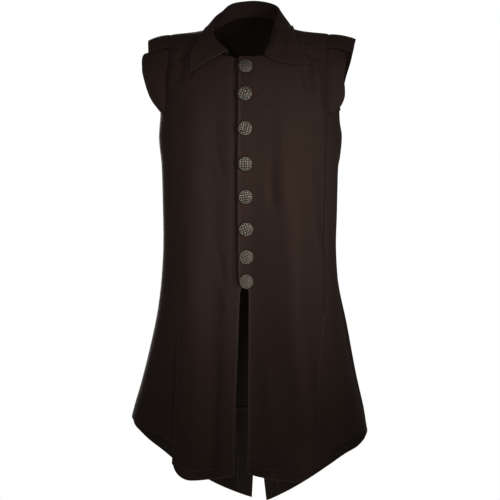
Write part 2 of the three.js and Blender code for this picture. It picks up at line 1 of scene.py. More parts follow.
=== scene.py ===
# %% [markdown]
# # A long sleeveless vest, dressed
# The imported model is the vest's frame: each cloth panel, the collar, the caps and the buttons
# stand there at their real size and place, as plain solids. This file makes the cloth itself.
# Each panel is a thin shell on the same hollow form, with its creases, turned edges, seams,
# topstitching and twill. The form is worked out again here, in millimetres, because a fine
# surface needs many more points than the plain solids have.

# %% Load the frame
import math

import bpy
import numpy as np
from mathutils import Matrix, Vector


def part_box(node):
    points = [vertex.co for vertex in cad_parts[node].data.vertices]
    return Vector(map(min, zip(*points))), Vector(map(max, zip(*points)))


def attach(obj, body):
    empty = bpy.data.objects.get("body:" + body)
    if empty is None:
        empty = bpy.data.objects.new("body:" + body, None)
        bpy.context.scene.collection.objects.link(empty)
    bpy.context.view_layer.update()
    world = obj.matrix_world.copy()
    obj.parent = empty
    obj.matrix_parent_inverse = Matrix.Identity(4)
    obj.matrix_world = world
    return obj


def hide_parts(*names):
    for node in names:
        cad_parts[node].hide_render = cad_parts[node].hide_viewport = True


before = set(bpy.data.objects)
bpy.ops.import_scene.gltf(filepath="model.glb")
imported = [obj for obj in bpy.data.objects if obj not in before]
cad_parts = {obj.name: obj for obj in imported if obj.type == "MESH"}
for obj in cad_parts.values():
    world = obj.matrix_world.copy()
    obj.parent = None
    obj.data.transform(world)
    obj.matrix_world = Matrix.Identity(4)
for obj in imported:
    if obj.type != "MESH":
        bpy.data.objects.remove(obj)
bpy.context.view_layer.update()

MM = 0.001
LEFT, RIGHT = 1, -1  # the wearer's sides, +X and -X
SIDE_NAMES = {LEFT: "left", RIGHT: "right"}

# %% [markdown]
# ## The hollow form
# A vest that is filled out with nobody in it is a tube of cloth. Its cross-section is a
# superellipse, wider than it is deep, whose sizes change with the level. Above the underarm
# each half of the section climbs over the shoulder like an arch. A place on the form is an
# angle round the body (0 in front) and a climb: millimetres below the underarm, degrees above
# it. Short tables hold the sizes, and a smooth curve runs through their rows.

# %% Sizes of the form
CLOTH = 2.0  # wall of the plain solids
SEAM_GAP = 0.3  # left between two plain solids
BODY_RADIUS = 150.0  # about, to turn a short length round the body into an angle
# Levels, from the shoulders down.
UNDERARM = -166.0
SHOULDER_SEAM = -40.0
SLIT_TOP = -562.0
VENT_TOP = -771.0
VENT_HEM = -962.0
VENT_HALF = {LEFT: 20.5, RIGHT: 10.5}  # from the middle to each edge of the vent, at the hem
SQUARENESS = 2.6  # 2 is an ellipse, and more is squarer
SKIRT_SKEW, SKEW_LEVELS = 0.018, (-500, -760)  # the skirt is wider on the wearer's right
NAPE_RISE, NAPE_REACH = 200.0, 110.0  # how the back climbs to the nape


def table(names, rows):
    """Rows of numbers as named columns."""
    return dict(zip(names.split(), np.array(rows, float).T))


BODY = table("level half front back seam_left seam_right", [
    (-1000, 268, 147, 153, 148, 139),
    (-860, 250, 138, 142, 148, 138.5),
    (-770, 232, 130, 134, 149, 136),
    (-700, 213, 124, 126, 150, 134),
    (-620, 195, 117, 116, 152, 133),
    (-560, 184, 112, 109, 154, 133),
    (-500, 177, 108, 103, 155, 139),
    (-430, 173, 105, 98, 156, 149),
    (-340, 174, 107, 97, 156, 154),
    (-270, 176, 110, 100, 157, 156),
    (-216, 181, 113, 104, 158, 158),
    (-166, 178, 113, 106, 162, 162),
    (-116, 181, 113, 104, 166, 166),
])
SHOULDER = table("out top", [
    (0, 6), (75, 2), (106, -4.5), (156, -10), (186, -15), (220, -22),
])
FRONT_HEM = table("out level", [
    (-20, -869), (0, -869), (27, -876), (60, -881), (105, -885),
    (122, -880), (134, -870), (142, -855), (160, -800),
])
FRONT_CORNER = 142.0
BACK_HEM = table("angle left right", [
    (50, -852, -812), (56, -833, -800), (62, -815, -795), (70, -806, -785),
    (80, -797, -775), (90, -799, -777), (100, -809, -800), (107, -829, -818),
    (113, -846, -837), (120, -862, -859), (130, -890, -893), (140, -916, -915),
    (150, -937, -934), (160, -953, -947), (170, -966, -957), (180, -975, -965),
])
FRONT_EDGE = {
    LEFT: table("level out", [
        (-1000, 7), (-520, 6), (-512, 4), (-498, -12), (-490, -14.5), (-330, -14), (-200, -12),
        (0, -12),
    ]),
    RIGHT: table("level out", [
        (-1000, 18), (-760, 17), (-640, 14), (-520, 10.5), (-500, 6), (-440, -10),
        (-400, -12), (0, -12),
    ]),
}

# %% Smooth steps and tables


def smooth_step(start, end, value):
    """0 before start, 1 after end, and a soft run between them."""
    t = np.clip((np.asarray(value, float) - start) / (end - start), 0, 1)
    return t * t * (3 - 2 * t)


def along(rows, place, column, at):
    """Smooth curve through a table: the value of one column at a place in another."""
    xs, ys = rows[place], rows[column]
    at = np.clip(np.asarray(at, float), xs[0], xs[-1])
    every = np.arange(len(xs))
    before, after = np.maximum(every - 1, 0), np.minimum(every + 1, len(xs) - 1)
    slopes = (ys[after] - ys[before]) / (xs[after] - xs[before])
    i = np.clip(np.searchsorted(xs, at, side="right") - 1, 0, len(xs) - 2)
    span = xs[i + 1] - xs[i]
    t = (at - xs[i]) / span
    ends = ys[i] * (1 + 2 * t) * (1 - t) ** 2 + ys[i + 1] * (3 - 2 * t) * t * t
    turns = slopes[i] * span * t * (1 - t) ** 2 + slopes[i + 1] * span * t * t * (t - 1)
    return ends + turns


print("waist is", round(2 * float(along(BODY, "level", "half", -430))), "mm across")

# %% Points of the form


def section_at(climb):
    """Half width, and depth in front and behind, of the form's section."""
    level = UNDERARM + np.minimum(climb, 0)
    return tuple(along(BODY, "level", name, level) for name in ("half", "front", "back"))


def depth_at(half, x, depth):
    """Depth of the section at a distance from the middle."""
    share = np.minimum(np.abs(x) / half, 1)
    return depth * (1 - share ** SQUARENESS) ** (1 / SQUARENESS)


def shoulder_top(x):
    return along(SHOULDER, "out", "top", np.abs(x))


def form_point(side, angle, climb):
    """Point of the hollow form on one side of the body."""
    angle, climb = np.broadcast_arrays(np.asarray(angle, float), np.asarray(climb, float))
    half, front, back = section_at(climb)
    sin, cos = np.sin(angle), np.cos(angle)
    depth = np.where(cos > 0, front, back)
    total = np.abs(sin / half) ** SQUARENESS + np.abs(cos / depth) ** SQUARENESS
    reach = total ** (-1 / SQUARENESS)
    x, y, level = reach * sin, -reach * cos, UNDERARM + climb
    skew = 1 - side * SKIRT_SKEW * smooth_step(*SKEW_LEVELS, level)
    below = np.stack([side * x * skew, y, level], -1)

    over = np.cos(np.radians(climb))
    middle = np.clip(1 - np.abs(x / NAPE_REACH) ** 3, 0, None) ** 2
    nape = np.where((cos < 0) & (over > 0), NAPE_RISE * middle * over * over, 0)
    rise = shoulder_top(x) - UNDERARM + nape
    far_y = -np.sign(y) * depth_at(half, x, np.where(cos > 0, back, front)) * np.abs(over)
    top = UNDERARM + rise * np.sin(np.radians(climb))
    above = np.stack([side * x, np.where(over > 0, y * over, far_y), top], -1)
    return np.where((climb <= 0)[..., None], below, above)


def unit(vectors):
    return vectors / np.maximum(np.linalg.norm(vectors, axis=-1, keepdims=True), 1e-9)


def normal_of(point_at, angle, climb):
    """Outward normal of a surface that is a function of angle and climb."""
    turn, step = 0.004, 0.5
    around = point_at(angle + turn, climb) - point_at(angle - turn, climb)
    up = point_at(angle, climb + step) - point_at(angle, climb - step)
    here = point_at(angle, climb)
    normal = unit(np.cross(around, up))
    outward = here * (1, 1, 0) + (0, 0, 30)
    return np.where(((normal * outward).sum(-1) < 0)[..., None], -normal, normal)


def angle_at(x, climb, on_back=False):
    """Angle round the body of a point at a distance from the middle."""
    half, front, back = section_at(climb)
    angle = np.arctan2(x, depth_at(half, x, back if on_back else front))
    return np.pi - angle if on_back else angle


def climb_to(level, x):
    """Climb that reaches a level on the front, at a distance from the middle."""
    return np.degrees(np.arcsin((level - UNDERARM) / (shoulder_top(x) - UNDERARM)))


print("chest is", round(2 * float(section_at(-104)[0])), "mm across")

# %% [markdown]
# ## Folds and creases
# Cloth that hangs from two shoulders falls in long soft flutes, and drags towards the places
# where it is held. A cloth simulation would need the wearer inside, and would fall a little
# differently each time a size is changed. The flutes and drag lines are few and well placed, so
# each is listed: a line on one face with its own width, length and height, and a soft
# end. Every panel reads the same lines, so they cross the seams. A rise below zero is a dent.

# %% Lines of the folds
FOLD_NAMES = "face from_u from_z to_u to_z width rise"
# u is x on the front and the back, and y on the two sides.
LARGE_FOLDS = [
    ("front", 79, -520, 134, -830, 28, 7),
    ("front", 131, -76, 152, -170, 12, 4),
    ("front", 118, -72, 132, -120, 11, -5),
    ("front", 142, -250, 158, -440, 12, -3),
    ("front", -60, -420, -62, -900, 21, -8),
    ("front", -104, -330, -112, -860, 24, 7),
    ("front", -122, -52, -130, -104, 11, -4),
    ("back", 50, -430, 84, -900, 30, 9),
    ("back", 110, -470, 140, -860, 26, -9),
    ("back", -46, -450, -76, -900, 30, 9),
    ("back", -104, -440, -142, -860, 28, -9),
    ("back", 176, -520, 206, -800, 24, 7),
    ("back", -176, -520, -206, -790, 24, 7),
]
MIDDLE_FOLDS = [
    # the left front turns in beside the opening, and swells next to it
    ("front", 4, -360, 20, -900, 42, -20),
    ("front", 84, -300, 124, -850, 24, 12),
    # chest, and the front of the armholes
    ("front", 22, -140, 20, -400, 20, -3.5),
    ("front", 78, -130, 82, -330, 22, 4),
    ("front", -58, -170, -60, -420, 18, -3.5),
    ("front", -100, -150, -104, -330, 24, 3),
    ("front", 132, -74, 149, -178, 9, 3.5),
    ("front", 117, -84, 128, -160, 9, -3),
]
SMALL_CREASES = [
    # chest and waist of the front
    ("front", 25, -139, 46, -114, 5, 1.5),
    ("front", 14, -166, 58, -156, 6, 1.3),
    ("front", 77, -106, 79, -172, 6, -1.6),
    ("front", 72, -180, 76, -340, 10, 2.0),
    ("front", 50, -250, 55, -350, 9, -2.6),
    ("front", 112, -222, 124, -240, 5, -1.4),
    ("front", -133, -58, -92, -36, 7, -3.0),
    ("front", 98, -44, 142, -58, 9, -3.5),
    ("front", -57, -240, -36, -310, 8, -1.3),
    ("front", -66, -232, -54, -280, 7, 0.8),
    ("front", -54, -436, -38, -522, 8, -3.0),
    ("front", -44, -500, -34, -560, 8, 2.0),
    ("front", 30, -250, 52, -330, 9, -1.2),
    ("front", 134, -386, 152, -462, 6, 1.8),
    ("front", 146, -330, 155, -440, 5, -1.8),
    ("front", 100, -300, 118, -420, 14, 1.4),
    ("front", -104, -330, -96, -470, 16, -1.5),
    # drag lines under the shoulders
    ("front", -138, -58, -104, -40, 6, -3.6),
    ("front", -94, -44, -112, -96, 6, -3.6),
    ("front", -108, -50, -122, -110, 8, 1.6),
    ("front", -146, -70, -152, -118, 7, 2.2),
    ("front", 84, -78, 92, -150, 12, -1.2),
    ("front", 146, -120, 156, -200, 7, -1.8),
    # skirt of the front
    ("front", 40, -640, 58, -870, 12, 2.2),
    ("front", 108, -600, 118, -780, 10, -2.0),
    ("front", -58, -640, -60, -860, 11, -2.4),
    ("front", -104, -560, -112, -800, 13, -2.4),
    # back
    ("back", 70, -150, 34, -330, 14, 2.6),
    ("back", 118, -200, 70, -400, 13, -2.6),
    ("back", -76, -160, -40, -350, 15, 2.4),
    ("back", -124, -190, -78, -380, 12, -2.4),
    ("back", 12, -330, 26, -560, 12, -2.0),
    ("back", -14, -360, -22, -600, 13, 1.8),
    ("back", 134, -60, 120, -150, 10, -2.4),
    ("back", -132, -64, -122, -140, 10, -2.0),
    ("back", 18, -640, 34, -880, 12, -3.0),
    ("back", -20, -600, -30, -840, 13, -2.6),
    ("back", 86, -620, 110, -880, 12, 3.0),
    ("back", -92, -640, -112, -860, 12, 3.0),
    # sides, below the armholes and in the skirt
    ("left", 20, -196, 14, -262, 7, 2.0),
    ("left", -14, -205, 6, -240, 6, -1.6),
    ("left", 40, -210, 30, -330, 9, 1.8),
    ("left", 10, -420, 24, -700, 15, -3.2),
    ("left", 40, -560, 52, -790, 14, 2.6),
    ("right", 20, -200, 12, -256, 7, 1.8),
    ("right", -10, -208, 8, -246, 6, -1.5),
    ("right", 42, -215, 30, -320, 9, 1.6),
    ("right", 6, -440, 22, -700, 15, -3.2),
    ("right", 38, -560, 50, -780, 14, 2.6),
]
FOLDS = [dict(zip(FOLD_NAMES.split(), row)) for row in LARGE_FOLDS + MIDDLE_FOLDS + SMALL_CREASES]
SIDE_OUT = 110  # beyond this distance from the middle a point faces the side
FACING_IN = (5, 40)  # a fold comes up as the form turns to its face


def on_face(point, face):
    """How far a point faces that way, and its place across that face."""
    x, y = point[..., 0], point[..., 1]
    faces = {"front": (-y, x), "back": (y, x), "left": (x - SIDE_OUT, y), "right": (-x - SIDE_OUT, y)}
    return faces[face]


def fold_rise(point):
    """Height of all the folds at a point, each with a round section and soft ends."""
    rise = np.zeros(point.shape[:-1])
    z = point[..., 2]
    for fold in FOLDS:
        facing, u = on_face(point, fold["face"])
        run_u, run_z = fold["to_u"] - fold["from_u"], fold["to_z"] - fold["from_z"]
        length = math.hypot(run_u, run_z)
        here_u, here_z = u - fold["from_u"], z - fold["from_z"]
        t = (here_u * run_u + here_z * run_z) / length ** 2
        away = (here_u * run_z - here_z * run_u) / length
        ends = smooth_step(-0.2, 0.25, t) * (1 - smooth_step(0.85, 1.2, t))
        bell = np.exp(-((away / fold["width"]) ** 2))
        rise += fold["rise"] * ends * bell * smooth_step(*FACING_IN, facing)
    return rise


def cloth_at(side, angle, climb):
    """Point of the creased cloth's outer face."""
    def base(a, c):
        return form_point(side, a, c)
    point = base(angle, climb)
    return point + normal_of(base, angle, climb) * fold_rise(point)[..., None]


def cloth_and_normals(side, angle, climb):
    """Points of the creased cloth's outer face, and the directions straight out of it."""
    def surface(a, c):
        return cloth_at(side, a, c)
    return surface(angle, climb), normal_of(surface, angle, climb)


print("folds:", len(LARGE_FOLDS), "large,", len(MIDDLE_FOLDS), "middling,", len(SMALL_CREASES), "small")

# %% [markdown]
# ## Cloth, metal and thread
# The cloth is a dark chocolate twill, brushed a little, so it has a faint sheen and no gloss. A
# tiled texture would repeat, and would need scaling for each piece. So the weave is a wave on
# each piece's own flat map, in metres, and runs with its cut. Broad noise gives the uneven dye,
# and the wrong side is darker, partly as painted shade inside the garment. Edges that rub are
# paler, partly a painted highlight on their rims, and seams are darker with painted shade,
# which painted attributes say. The buttons' metal is dark in the hollows of its relief and bare
# on top, by an attribute that holds the height. The sewing thread is twisted from two browns.

# %% Node helpers


def new_material(name):
    material = bpy.data.materials.new(name)
    material.use_nodes = True
    nodes = material.node_tree.nodes
    return material, nodes, material.node_tree.links, nodes["Principled BSDF"]


def set_inputs(node, values):
    for key, value in values.items():
        node.inputs[key].default_value = value


def add_node(nodes, kind, inputs=None, **settings):
    node = nodes.new(kind)
    for key, value in settings.items():
        setattr(node, key, value)
    set_inputs(node, inputs or {})
    return node


def feed(links, socket, value):
    """Link a socket to another, or set it to a plain value."""
    if isinstance(value, bpy.types.NodeSocket):
        links.new(value, socket)
    else:
        socket.default_value = value


def mixed(nodes, links, factor, a, b, blend="MIX"):
    """Colour mix: a and b are colours or sockets."""
    node = add_node(nodes, "ShaderNodeMix", data_type="RGBA", blend_type=blend)
    for socket, value in ((node.inputs[0], factor), (node.inputs[6], a), (node.inputs[7], b)):
        feed(links, socket, value)
    return node.outputs[2]


def maths(nodes, links, operation, *values):
    node = add_node(nodes, "ShaderNodeMath", operation=operation)
    for socket, value in zip(node.inputs, values):
        feed(links, socket, value)
    return node.outputs[0]


def noise(nodes, links, place, scale, detail, stretch=None):
    """Noise with scale patches to a metre, read at a place."""
    if stretch:
        mapping = add_node(nodes, "ShaderNodeMapping", {"Scale": stretch})
        links.new(place, mapping.inputs["Vector"])
        place = mapping.outputs["Vector"]
    node = add_node(nodes, "ShaderNodeTexNoise", {"Scale": scale, "Detail": detail})
    links.new(place, node.inputs["Vector"])
    return node.outputs["Fac"]


def attribute(nodes, name):
    return add_node(nodes, "ShaderNodeAttribute", attribute_name=name).outputs["Fac"]


def object_place(nodes):
    return add_node(nodes, "ShaderNodeTexCoord").outputs["Object"]


# %% Brown twill
DYE = (0.0185, 0.0113, 0.0092, 1)
DYE_WARM = (0.0235, 0.0146, 0.0119, 1)
# Paler colour of the edges: partly real rubbing, partly a painted highlight on their rims.
DYE_WORN_AND_HIGHLIGHT = (0.062, 0.046, 0.039, 1)
# Dark colour laid along the seams: painted shade in the seam's crease.
SEAM_SHADE_COLOUR = (0.004, 0.0027, 0.0022, 1)
# Darker inner face: partly the cloth's own back, partly painted shade inside the garment.
WRONG_SIDE_AND_SHADE = (0.0100, 0.0070, 0.0057, 1)
BRUSHED = {
    "Sheen Weight": 0.04,
    "Sheen Roughness": 0.42,
    "Sheen Tint": (0.72, 0.55, 0.46, 1),
    "Specular IOR Level": 0.09,
    "Specular Tint": (1, 0.82, 0.72, 1),
}
# Metres, and patches to a metre.
TWILL_PITCH, TWILL_HEIGHT, CRUMPLE_HEIGHT = 0.0009, 0.00006, 0.0012
DYE_PATCHES, SLUBS, FIBRES, WEAR_AND_HIGHLIGHT_SPECKS, SHINE_PATCHES, CRUMPLES = 5.5, 60, 1500, 90, 40, 38


def twill_colour(nodes, links, flat, place):
    """Uneven dye with slubs, paler edges from rubbing and a painted highlight, painted shade in the seams
    and inside, and a fine grain over all.
    """
    dye = maths(nodes, links, "MULTIPLY", noise(nodes, links, place, DYE_PATCHES, 4), 0.65)
    slub = noise(nodes, links, flat, SLUBS, 3, stretch=(1, 8, 1))
    shade = maths(nodes, links, "MULTIPLY_ADD", slub, 0.35, dye)
    colour = mixed(nodes, links, shade, DYE, DYE_WARM)
    # edges paler from rubbing, partly a painted highlight on their rims
    specks = noise(nodes, links, place, WEAR_AND_HIGHLIGHT_SPECKS, 3)
    wear_and_highlight = maths(nodes, links, "MULTIPLY", attribute(nodes, "wear_and_highlight"), specks)
    colour = mixed(nodes, links, wear_and_highlight, colour, DYE_WORN_AND_HIGHLIGHT)
    # the inner face darker, partly painted shade inside the garment
    colour = mixed(nodes, links, attribute(nodes, "inner"), colour, WRONG_SIDE_AND_SHADE)
    # painted shade along the seams
    seam_shade_strength = maths(nodes, links, "MULTIPLY", attribute(nodes, "seam_shade"), 0.8)
    colour = mixed(nodes, links, seam_shade_strength, colour, SEAM_SHADE_COLOUR)
    grain = maths(nodes, links, "MULTIPLY_ADD", noise(nodes, links, flat, FIBRES, 1), 0.5, 0.75)
    return mixed(nodes, links, 1.0, colour, grain, "MULTIPLY")


def twill_relief(nodes, links, flat):
    """The diagonal ribs of the weave, and a faint crumple."""
    split = add_node(nodes, "ShaderNodeSeparateXYZ")
    links.new(flat, split.inputs[0])
    run = maths(nodes, links, "ADD", split.outputs["X"], split.outputs["Y"])
    wave = maths(nodes, links, "SINE", maths(nodes, links, "MULTIPLY", run, math.tau / TWILL_PITCH))
    ribs = add_node(nodes, "ShaderNodeBump", {"Strength": 0.5, "Distance": TWILL_HEIGHT})
    links.new(wave, ribs.inputs["Height"])
    crumple = add_node(nodes, "ShaderNodeBump", {"Strength": 0.5, "Distance": CRUMPLE_HEIGHT})
    links.new(noise(nodes, links, flat, CRUMPLES, 4), crumple.inputs["Height"])
    links.new(ribs.outputs["Normal"], crumple.inputs["Normal"])
    return crumple.outputs["Normal"]


def brown_twill():
    material, nodes, links, shader = new_material("brown_twill")
    set_inputs(shader, BRUSHED)
    flat = add_node(nodes, "ShaderNodeUVMap", uv_map="cloth").outputs["UV"]
    place = object_place(nodes)
    links.new(twill_colour(nodes, links, flat, place), shader.inputs["Base Color"])
    shine = noise(nodes, links, place, SHINE_PATCHES, 3)
    rough = maths(nodes, links, "MULTIPLY_ADD", shine, 0.14, 0.66)
    links.new(rough, shader.inputs["Roughness"])
    links.new(twill_relief(nodes, links, flat), shader.inputs["Normal"])
    return material


TWILL = brown_twill()
print("cloth:", TWILL.name)

# %% Old pewter
HOLLOW_METAL = (0.026, 0.0215, 0.0165, 1)
DULL_METAL = (0.070, 0.061, 0.049, 1)
BARE_METAL = (0.265, 0.242, 0.206, 1)
PATINA_SPECKS = 420


def old_pewter():
    material, nodes, links, shader = new_material("old_pewter")
    set_inputs(shader, {"Metallic": 0.9})
    patina = noise(nodes, links, object_place(nodes), PATINA_SPECKS, 5)
    height = maths(nodes, links, "SUBTRACT", attribute(nodes, "relief"), 0.25)
    bare = maths(nodes, links, "MULTIPLY_ADD", patina, 0.5, height)
    ramp = add_node(nodes, "ShaderNodeValToRGB")
    stops = ramp.color_ramp.elements
    stops[0].position, stops[0].color = 0.1, HOLLOW_METAL
    stops[1].position, stops[1].color = 0.85, BARE_METAL
    stops.new(0.45).color = DULL_METAL
    links.new(bare, ramp.inputs["Fac"])
    links.new(ramp.outputs["Color"], shader.inputs["Base Color"])
    rough = maths(nodes, links, "MULTIPLY_ADD", patina, 0.25, 0.42)
    links.new(rough, shader.inputs["Roughness"])
    return material


PEWTER = old_pewter()
print("metal:", PEWTER.name)

# %% Sewing thread
THREAD_TWISTS = 300


def sewing_thread(name, dark, light):
    material, nodes, links, shader = new_material(name)
    set_inputs(shader, {"Roughness": 0.55, "Sheen Weight": 0.2})
    twist = noise(nodes, links, object_place(nodes), THREAD_TWISTS, 2)
    links.new(mixed(nodes, links, twist, dark, light), shader.inputs["Base Color"])
    return material


THREADS = {
    "matching": sewing_thread("brown_thread", (0.011, 0.007, 0.0055, 1), (0.021, 0.014, 0.0113, 1)),
    "pale": sewing_thread("pale_thread", (0.045, 0.035, 0.028, 1), (0.085, 0.068, 0.056, 1)),
}
print("threads:", [thread.name for thread in THREADS.values()])

# %% [markdown]
# ## From a grid of points to a piece of cloth
# A piece of cloth is two grids of points, its right side and its wrong side, joined round the
# rim. A Solidify modifier could add the wrong side, but then the wall could not be doubled at
# the hems alone. A square rim would look like card, so the rim is half round. The same step
# gives the piece its flat map, from the lengths measured along the grid.

# %% A shell with a round rim
RIM_TURNS = (30, 60, 90, 120, 150)
RIM_SHARE = 0.45  # most of the first step that the rounding may take


def shell(outer, inner):
    """Points and faces of a closed sheet, and the grid point that each point came from."""
    rows, columns = outer.shape[:2]
    count = rows * columns
    grid = np.arange(count).reshape(rows, columns)
    ring = np.concatenate([grid[0, :-1], grid[:-1, -1], grid[-1, :0:-1], grid[:0:-1, 0]])
    top, bottom = outer.reshape(-1, 3).copy(), inner.reshape(-1, 3).copy()
    i, j = np.divmod(ring, columns)
    inward = grid[np.clip(i, 1, rows - 2), np.clip(j, 1, columns - 2)]
    centre, half = (top[ring] + bottom[ring]) / 2, (top[ring] - bottom[ring]) / 2
    out = centre - (top[inward] + bottom[inward]) / 2
    out -= unit(half) * (out * unit(half)).sum(-1, keepdims=True)
    reach = np.minimum(np.linalg.norm(half, axis=-1), RIM_SHARE * np.linalg.norm(out, axis=-1))
    push = unit(out) * reach[:, None]
    top[ring] -= push
    bottom[ring] -= push
    rim = [centre - push + half * math.cos(a) + push * math.sin(a) for a in np.radians(RIM_TURNS)]
    layers = [ring] + [2 * count + k * len(ring) + np.arange(len(ring)) for k in range(len(rim))]
    layers.append(ring + count)

    a, b, c, d = grid[:-1, :-1], grid[:-1, 1:], grid[1:, 1:], grid[1:, :-1]
    faces = [np.stack([a, b, c, d], -1).reshape(-1, 4)]
    faces.append(np.stack([a, d, c, b], -1).reshape(-1, 4) + count)
    for upper, lower in zip(layers, layers[1:]):
        onward, below = np.roll(upper, -1), np.roll(lower, -1)
        faces.append(np.stack([onward, upper, lower, below], -1))
    faces = np.concatenate(faces)
    points = np.concatenate([top, bottom, *rim])
    corners = points[faces]
    volume = (corners[:, 0] * np.cross(corners[:, 1], corners[:, 2])).sum()
    volume += (corners[:, 0] * np.cross(corners[:, 2], corners[:, 3])).sum()
    if volume < 0:
        faces = faces[:, ::-1]
    source = np.concatenate([grid.ravel(), grid.ravel(), np.tile(ring, len(rim))])
    return points, faces, source


def lengths(points, axis):
    """Length run along the grid's rows (axis 0) or columns (axis 1)."""
    steps = np.linalg.norm(np.diff(points, axis=axis), axis=-1)
    return np.insert(np.cumsum(steps, axis=axis), 0, 0, axis=axis)


# %% Cloth objects


def mesh_object(name, points, faces, material, attributes, uv=None):
    mesh = bpy.data.meshes.new(name)
    mesh.from_pydata((points * MM).tolist(), [], faces)
    mesh.polygons.foreach_set("use_smooth", [True] * len(mesh.polygons))
    if uv is not None:
        corner = np.zeros(len(mesh.loops), int)
        mesh.loops.foreach_get("vertex_index", corner)
        layer = mesh.uv_layers.new(name="cloth")
        layer.data.foreach_set("uv", (uv[corner] * MM).ravel())
    for key, values in attributes.items():
        mesh.attributes.new(key, "FLOAT", "POINT").data.foreach_set("value", values.astype(float))
    mesh.materials.append(material)
    mesh.update()
    piece = bpy.data.objects.new(name, mesh)
    bpy.context.collection.objects.link(piece)
    return piece


def cloth_piece(node, outer, inner, marks, wrong_side_shade=1.0):
    """One sewn piece in place of its plain solid, with a flat map of its own cut.

    wrong_side_shade is how far the inner face takes the darker colour, partly painted shade, 0 to 1.
    """
    points, faces, source = shell(outer, inner)
    middle = (outer + inner) / 2
    u, v = lengths(middle, 1), lengths(middle, 0)
    flat = np.stack([u - u[:, -1:] / 2, v], -1).reshape(-1, 2)
    count = outer.shape[0] * outer.shape[1]
    attributes = {key: values.ravel()[source] for key, values in marks.items()}
    attributes["inner"] = np.zeros(len(points))
    attributes["inner"][count:2 * count] = wrong_side_shade
    piece = mesh_object(f"{node}_cloth", points, faces.tolist(), TWILL, attributes, flat[source])
    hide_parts(node)
    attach(piece, "root")


# %% [markdown]
# ## How edges are finished
# Two kinds of finished edge show. At a seam the cloth rolls in to the stitches and its
# allowance lies inside. A turned edge is doubled, and a row of stitches sinks into it. Either
# could be real folded layers, but they would cost many faces that nobody sees. Here each is a
# small change of height and thickness with the distance from the edge, so one function does
# all. The same function marks where an edge is paler, from rubbing and a painted highlight on
# its rim, and where a seam is darkened with painted shade.

# %% Edge profiles
WALL = 1.3  # thickness of the dressed cloth
SEAM_DIP, SEAM_ROUND = 1.5, 3.0  # how deep the cloth rolls in to a seam, and over what width
ALLOWANCE, ALLOWANCE_WIDTH = 0.8, 11.0  # the second layer inside a seam
TURNED = 0.8  # the second layer of a turned edge
LAYER_END = 1.5  # run over which a second layer ends
STITCH_DIP, STITCH_ROUND = 0.35, 1.1
PUCKER, PUCKER_PITCH = 0.22, 17.0
TURNED_PUCKER, SEAM_PUCKER = 0.6, 0.5  # share of it at each kind of edge
WORN_AND_HIGHLIGHT_WIDTH, SEAM_SHADE_WIDTH = 1.7, 2.2  # of a paler edge, partly a painted highlight, and of the painted shade in a seam
# per side: paleness of the slit's edges, partly a painted highlight, and the painted shade in the side
# seam
SIDE_RUB_AND_SHADE = {LEFT: 0.5, RIGHT: 0.12}
SIDE_SEAM = {LEFT: 1.0, RIGHT: 0.3}  # the right side seam is pressed flatter
EDGE_BAND, EDGE_STITCH = 9.0, 5.0  # turned width, and the stitches' distance from the edge
HEM_BAND, HEM_STITCH = 20.0, 18.0
STITCH_LINES = {"matching": [], "pale": []}


def second_layer(gap, width):
    """1 where a second layer lies, 0 past its width."""
    return 1 - smooth_step(width - LAYER_END, width, gap)


def finish_edges(points, edges):
    """Rise of the right side, wall thickness and marks, from how each edge is finished.

    edges maps start, end (of each row), hem or top to (seam, turned, band, stitch, rub_and_shade):
    how far it is a seam and how far it is turned, 0 to 1, the turned width, the stitches'
    distance, and how pale a turned edge is, from rubbing and a painted highlight, and at a seam
    how dark its painted shade is.
    """
    u, v = lengths(points, 1), lengths(points, 0)
    gaps = {"start": u, "end": u[:, -1:] - u, "hem": v, "top": v[-1:] - v}
    runs = {"start": v, "end": v, "hem": u, "top": u}
    rise, wear_and_highlight, seam_shade, doubled = (np.zeros_like(u) for _ in range(4))
    for place, (seam, turned, band, stitch, rub_and_shade) in edges.items():
        gap = gaps[place]
        rise -= seam * SEAM_DIP * np.exp(-((gap / SEAM_ROUND) ** 2))
        rise -= turned * STITCH_DIP * np.exp(-(((gap - stitch) / STITCH_ROUND) ** 2))
        pull = np.sin(runs[place] * math.tau / PUCKER_PITCH) * np.exp(-((gap / band) ** 2))
        rise += (turned * TURNED_PUCKER + seam * SEAM_PUCKER) * PUCKER * pull
        doubled = np.maximum(doubled, seam * ALLOWANCE * second_layer(gap, ALLOWANCE_WIDTH))
        doubled = np.maximum(doubled, turned * TURNED * second_layer(gap, band))
        wear_and_highlight = np.maximum(wear_and_highlight, rub_and_shade * turned * np.exp(-((gap / WORN_AND_HIGHLIGHT_WIDTH) ** 2)))
        seam_shade = np.maximum(seam_shade, rub_and_shade * seam * np.exp(-((gap / SEAM_SHADE_WIDTH) ** 2)))
    return rise, WALL + doubled, {"wear_and_highlight": np.clip(wear_and_highlight, 0, 1), "seam_shade": np.clip(seam_shade, 0, 1)}


# %% Lines for the stitches


def stitch_line(points, gap, place, keep=None, thread="matching"):
    """Keep the line that runs at a distance from one edge of the grid, for the topstitching."""
    axis = 1 if place in ("start", "end") else 0
    run = lengths(points, axis)
    if place in ("end", "top"):
        points, run = np.flip(points, axis), np.take(run, [-1], axis) - np.flip(run, axis)
    if axis == 0:
        points, run = points.transpose(1, 0, 2), run.T
    line = np.array([[np.interp(gap, run[k], points[k][:, c]) for c in range(3)] for k in range(len(run))])
    if keep is not None:
        line = line[keep]
    STITCH_LINES[thread].append(line)


# %% Spacing of the grid
# Distances of the rows from a side edge and from the hem, closest where the stitches sink in.
EDGE_STEPS = np.array([0, 1.5, 3, 4.2, 5, 5.8, 7, 9, 11, 13])
HEM_STEPS = np.array([0, 1.5, 3, 5, 8, 11, 14, 16, 17.2, 18, 18.8, 20, 22.5, 26])
SPACING = 3.2  # of the rows above the hem


